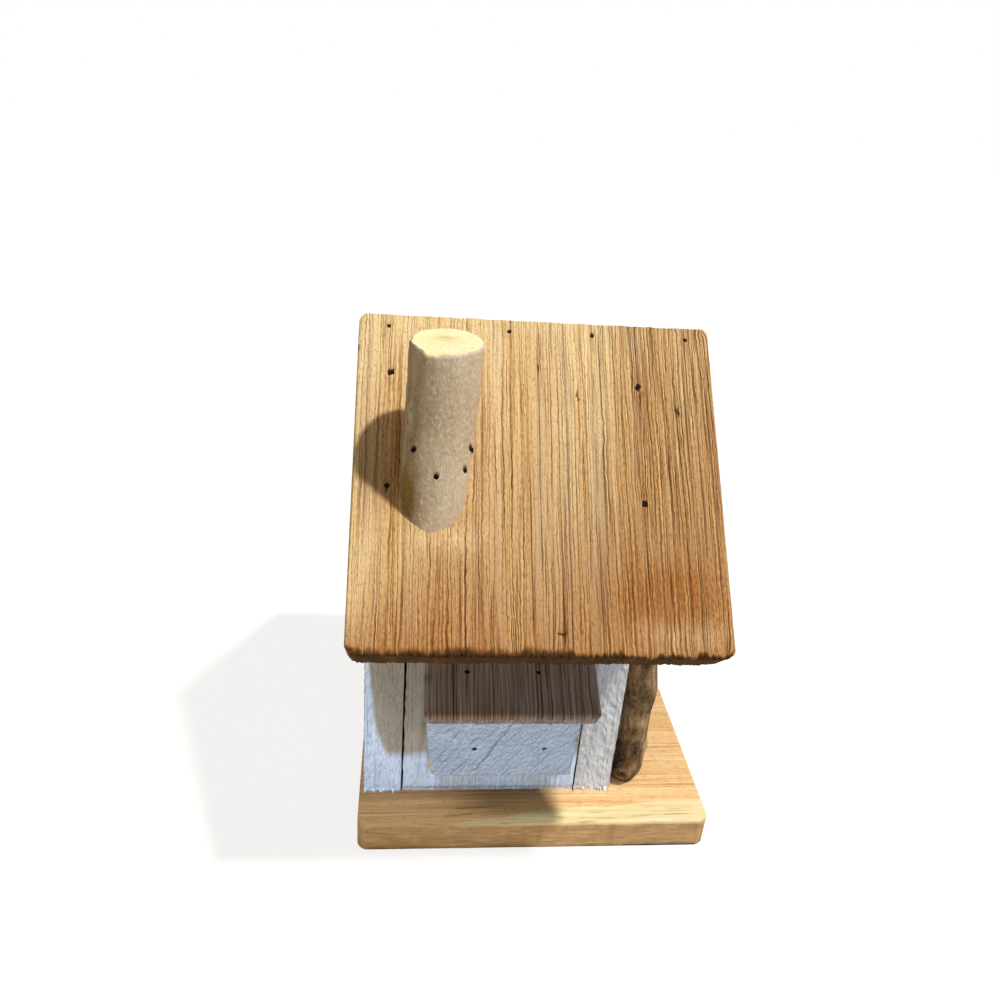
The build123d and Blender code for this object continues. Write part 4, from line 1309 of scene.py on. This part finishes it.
# %% Little roof
AWNING_THICKNESS, AWNING_RIM, AWNING_CORNER, AWNING_PIT = 8.0, 2.4, 3.0, 1.9
AWNING_SPARE, AWNING_CUTS = 6.0, (0.3, 0.6, 1.0, 1.4, 1.8, 2.4, 3.0)
AWNING_SLOPE = Matrix.Rotation(AWNING_PITCH, 3, "X")
AWNING_LINES = (
    (-34.5, 0.5), (-27.1, 0.95), (-25.6, 0.85), (-17.5, 0.4), (-12.9, 0.55), (-9.0, 1.0), (-4.1, 0.4),
    (-1.6, 0.6), (4.1, 0.6), (9.0, 0.5), (11.3, 0.5), (12.9, 0.8), (15.5, 0.6), (17.5, 0.55), (19.3, 0.5),
    (20.7, 0.5), (22.8, 0.6), (24.4, 0.5), (26.2, 0.5), (29.3, 0.95), (31.6, 0.5), (35.9, 0.5),
)
half = (awning_high[0] - awning_low[0]) / 2
depth = (awning_high[1] - awning_low[1]) / AWNING_UP
lip_z = awning_low[2] + AWNING_THICKNESS * AWNING_UP
awning_at = ((awning_low[0] + awning_high[0]) / 2, awning_low[1], lip_z)
places = nail_heads("awning_nails", AWNING_SLOPE, awning_at)
awning = plank(
    "little_roof",
    spread(-half, half, 0.7, [a for a, _ in places], [a for a, _ in AWNING_LINES], (0.3, 0.7, 1.2)),
    spread(0, depth + AWNING_SPARE, 1.2, [b for _, b in places], (), AWNING_CUTS),
    (AWNING_THICKNESS, 7, 5.5, 4, 2.5, 1.2, 0.5, 0.0),
)
(px, py, pz), (x, y, z), top = board_points(awning)
x, y = rounded_plan(x, y, (-half, 0), (half, depth + AWNING_SPARE), AWNING_CORNER)
edge = np.minimum.reduce([x + half, half - x, y])
mark = carved(px, py, [(place, strength, -30, 80) for place, strength in AWNING_LINES])
mark = mark * (0.65 + 0.35 * cloud(px / 2, py / 6, 111))
pit, _ = pits(px, py, places, AWNING_PIT, 113)
relief = 0.12 * cloud(x / 1.5, y / 30, 114) + 0.3 * cloud(x / 13, y / 30, 115) - 0.6 * mark - pit
side_start = (AWNING_RIM + 0.6) * (1 + pz / AWNING_THICKNESS)
z = z + np.where(top, relief, 0) - np.where(top, rim_drop(edge, AWNING_RIM), side_start)
front_tail = np.clip(1 - py / 3.0, 0, 1)
y = y + front_tail * (0.2 * cloud(px / 1.6, pz / 3, 116) + 0.2 + 0.5 * mark * top)
x = x + 0.35 * cloud(py / 14, px / 9, 119) * smooth(edge, 0.5, 4)
x = x + np.where(px > 0, 1, -1) * 0.5 * smooth(np.abs(px), 36, 40) * wander(y / 14, 117)
move_points(awning, x, y, z)
keep_grain(awning, px, py, pz)
print("little roof", round(2 * half, 1), "x", round(depth, 1), "mm")

# %% [markdown]
# The front end gets a tan painted light, strongest towards the rear corner, where some moss grows as well.

# %% Marks of the little roof
# Painted light: a tan light on the front edge, strongest towards the rear corner.
lip_light_towards_rear = 1 - 0.7 * smooth(px, -20, 25)
tail = np.clip(1 - py / 7.0, 0, 1)
painted_lip_light = smooth(tail + 0.12 * wander(px / 2.5, 118), 0.3, 0.8) * lip_light_towards_rear
on_front = (py < 0.01) & ~top
keep_marks(
    awning,
    streak=np.clip(np.maximum(mark, pit) * np.where(top, 1, 0.6), 0, 1),
    # Painted light on the front face and along the front edge of the top.
    pale=np.where(on_front, 0.2 * (1 - smooth(-pz, 1, 5)) * lip_light_towards_rear, 0.6 * painted_lip_light * top),
    moss=0.7 * spot((px + 39) / 2.0, (py - 19) / 2.5),
)
cut_away(awning, depth, (0, AWNING_UP, -AWNING_OUT))
settle(awning, "house", "awning_board", grey_wood, AWNING_SLOPE, awning_at)

# %% [markdown]
# ## The porch posts
# Each post is a crooked branch with knots. It stands on the base with a rounded end, leans on the front wall
# with a flat, and ends under the roof board. The knots are soft bumps, and some have a hollow at their heart.
# They could be sculpted, but a formula gives the same branch at each run.

# %% Posts
POST_RADIUS, CORE_RADIUS, FOOT_HEIGHT = 10.5, 9.0, 9.0


def post(name, node, seed, knots):
    """A knobbly branch beside the front wall, with knots given by turn, rise, width, height and dark eye."""
    low, high = node_box(node)
    axis_x, axis_y = high[0] - POST_RADIUS, (low[1] + high[1]) / 2
    stick = branch(name, 110, 150, 5)
    radius, angle, up = round_points(stick)
    h = up * (high[2] - low[2])
    size = POST_RADIUS - 0.7 + 0.55 * wander(h / 30 + 3, seed)
    size = size + 0.35 * cloud(angle * 1.3 + 5, h / 16, seed + 1) + 0.16 * cloud(angle * 5 + 20, h / 9, seed + 2)
    size = size - 0.12 * np.abs(cloud(angle * 9 + 30, h / 30, seed + 3))
    heart, ring = np.zeros_like(h), np.zeros_like(h)
    for start, rise, wide, bump, eye in knots:
        away = (turned(angle, start) * CORE_RADIUS / wide) ** 2 + ((h - rise) / wide) ** 2
        size = size + bump * np.exp(-away) - eye * bump * np.exp(-away * 9)
        heart = np.maximum(heart, eye * np.exp(-away * 7))
        ring = np.maximum(ring, eye * spot((np.sqrt(away) - 0.8) / 0.2))
    foot_round = np.clip(h / FOOT_HEIGHT, 0, 1)
    size = size * (0.55 + 0.45 * np.sqrt(1 - (1 - foot_round) ** 2))
    x = axis_x + 0.8 * np.sin(h / 26 + seed) * smooth(h, 0, 30) + radius * size * np.cos(angle)
    y = axis_y + 0.9 * np.sin(h / 33 + 1.7 * seed) + radius * size * np.sin(angle)
    ceiling = ridge_under - np.abs(y) * math.tan(ROOF_PITCH) - 0.2
    z = low[2] + up * (ceiling - low[2])
    move_points(stick, np.maximum(x, low[0] + 0.1), y, z)
    keep_grain(stick, angle * CORE_RADIUS, z, radius * CORE_RADIUS)
    # Painted shade: the side of the post that faces the wall is darkened through streak.
    inside = 0.55 * smooth(angle * np.sign(axis_y), 1.75, 2.4)
    inside = inside * (0.7 + 0.4 * cloud(angle * 4 + 11, h / 12, seed + 5))
    rubbed = 0.35 * smooth(cloud(angle * 5 + 7, h / 7, seed + 4), 0.2, 0.8)
    streak = np.clip(np.maximum(0.9 * heart, inside), 0, 1)
    keep_marks(stick, streak=streak, worn=np.maximum(rubbed, 0.45 * ring))
    settle(stick, "house", node, bark_branch, angle=60)


NEAR_KNOTS = (
    (-1.87, 9.1, 4.0, 1.9, 1.0),
    (-0.4, 24, 3.0, 1.2, 0.4),
    (-1.85, 33.6, 3.0, 0.9, 0.5),
    (-1.44, 43.8, 2.6, 0.8, 0.2),
    (-1.77, 62.8, 2.4, 0.9, 0.6),
    (-1.25, 68.8, 2.2, 0.9, 0.6),
    (-0.35, 62, 10.0, 1.6, 0.0),
    (-1.5, 92, 3.0, 1.2, 0.5),
)
FAR_KNOTS = (
    (0.6, 14, 4.0, 1.5, 0.9),
    (1.4, 40, 3.2, 1.4, 0.7),
    (0.2, 71, 3.8, 1.5, 0.9),
    (1.9, 96, 3.0, 1.1, 0.5),
)
post("near_branch", "near_post", 121, NEAR_KNOTS)
post("far_branch", "far_post", 131, FAR_KNOTS)

# %% [markdown]
# ## The cleat inside
# A plain strip on the floor stops the swinging wall. It shows only when the wall stands open, so a small board
# with eased edges is enough.

# %% Cleat
CLEAT_RIM = 0.8
cleat_low, cleat_high = node_box("door_stop")
cleat_size, cleat_middle = cleat_high - cleat_low, (cleat_low + cleat_high) / 2
cleat = plank(
    "cleat",
    spread(-cleat_size[0] / 2, cleat_size[0] / 2, 3.0),
    spread(-cleat_size[1] / 2, cleat_size[1] / 2, 0.8, rim=(0.3, 0.7)),
    (cleat_size[2], 7, 4, 1.5, 0.0),
)
(px, py, pz), (x, y, z), top = board_points(cleat)
edge = np.minimum(cleat_size[0] / 2 - np.abs(px), cleat_size[1] / 2 - np.abs(py))
z = z + np.where(top, 0.08 * cloud(py / 0.9, px / 30, 141) - 0.1 - rim_drop(edge, CLEAT_RIM), 0)
move_points(cleat, x, y, z)
keep_grain(cleat, py, px, pz)
settle(cleat, "house", "door_stop", pine, at=(cleat_middle[0], cleat_middle[1], cleat_high[2]))

# %% [markdown]
# ## Linking the lamps
# In the photograph the skylight under the eave reaches the painted boards and hardly shows on the sunny wood.
# Light linking does this in Blender: a lamp gets one collection of pieces that it lights and another of
# pieces that cast its shadow. The low lamp lights the rear wall, the near wall and the block, the edge lamp
# the front wall, and the fill the base and the front. The key lamp lights everything.

# %% Light linking


def group(name, *pieces):
    """A collection of pieces, for the lamps only."""
    collection = bpy.data.collections.new(name)
    for piece in pieces:
        collection.objects.link(piece)
    return collection


low_lamp.light_linking.receiver_collection = group("lit_by_low", rear, near, block)
low_lamp.light_linking.blocker_collection = group("shade_low", near_roof, far_roof, rear, near, front)
edge_lamp.light_linking.receiver_collection = group("lit_by_edge", front)
edge_lamp.light_linking.blocker_collection = group("shade_edge", front, near, rear)
fill_lamp.light_linking.receiver_collection = group("lit_by_fill", base, front)
print("lamps linked:", low_lamp.name, edge_lamp.name, fill_lamp.name)
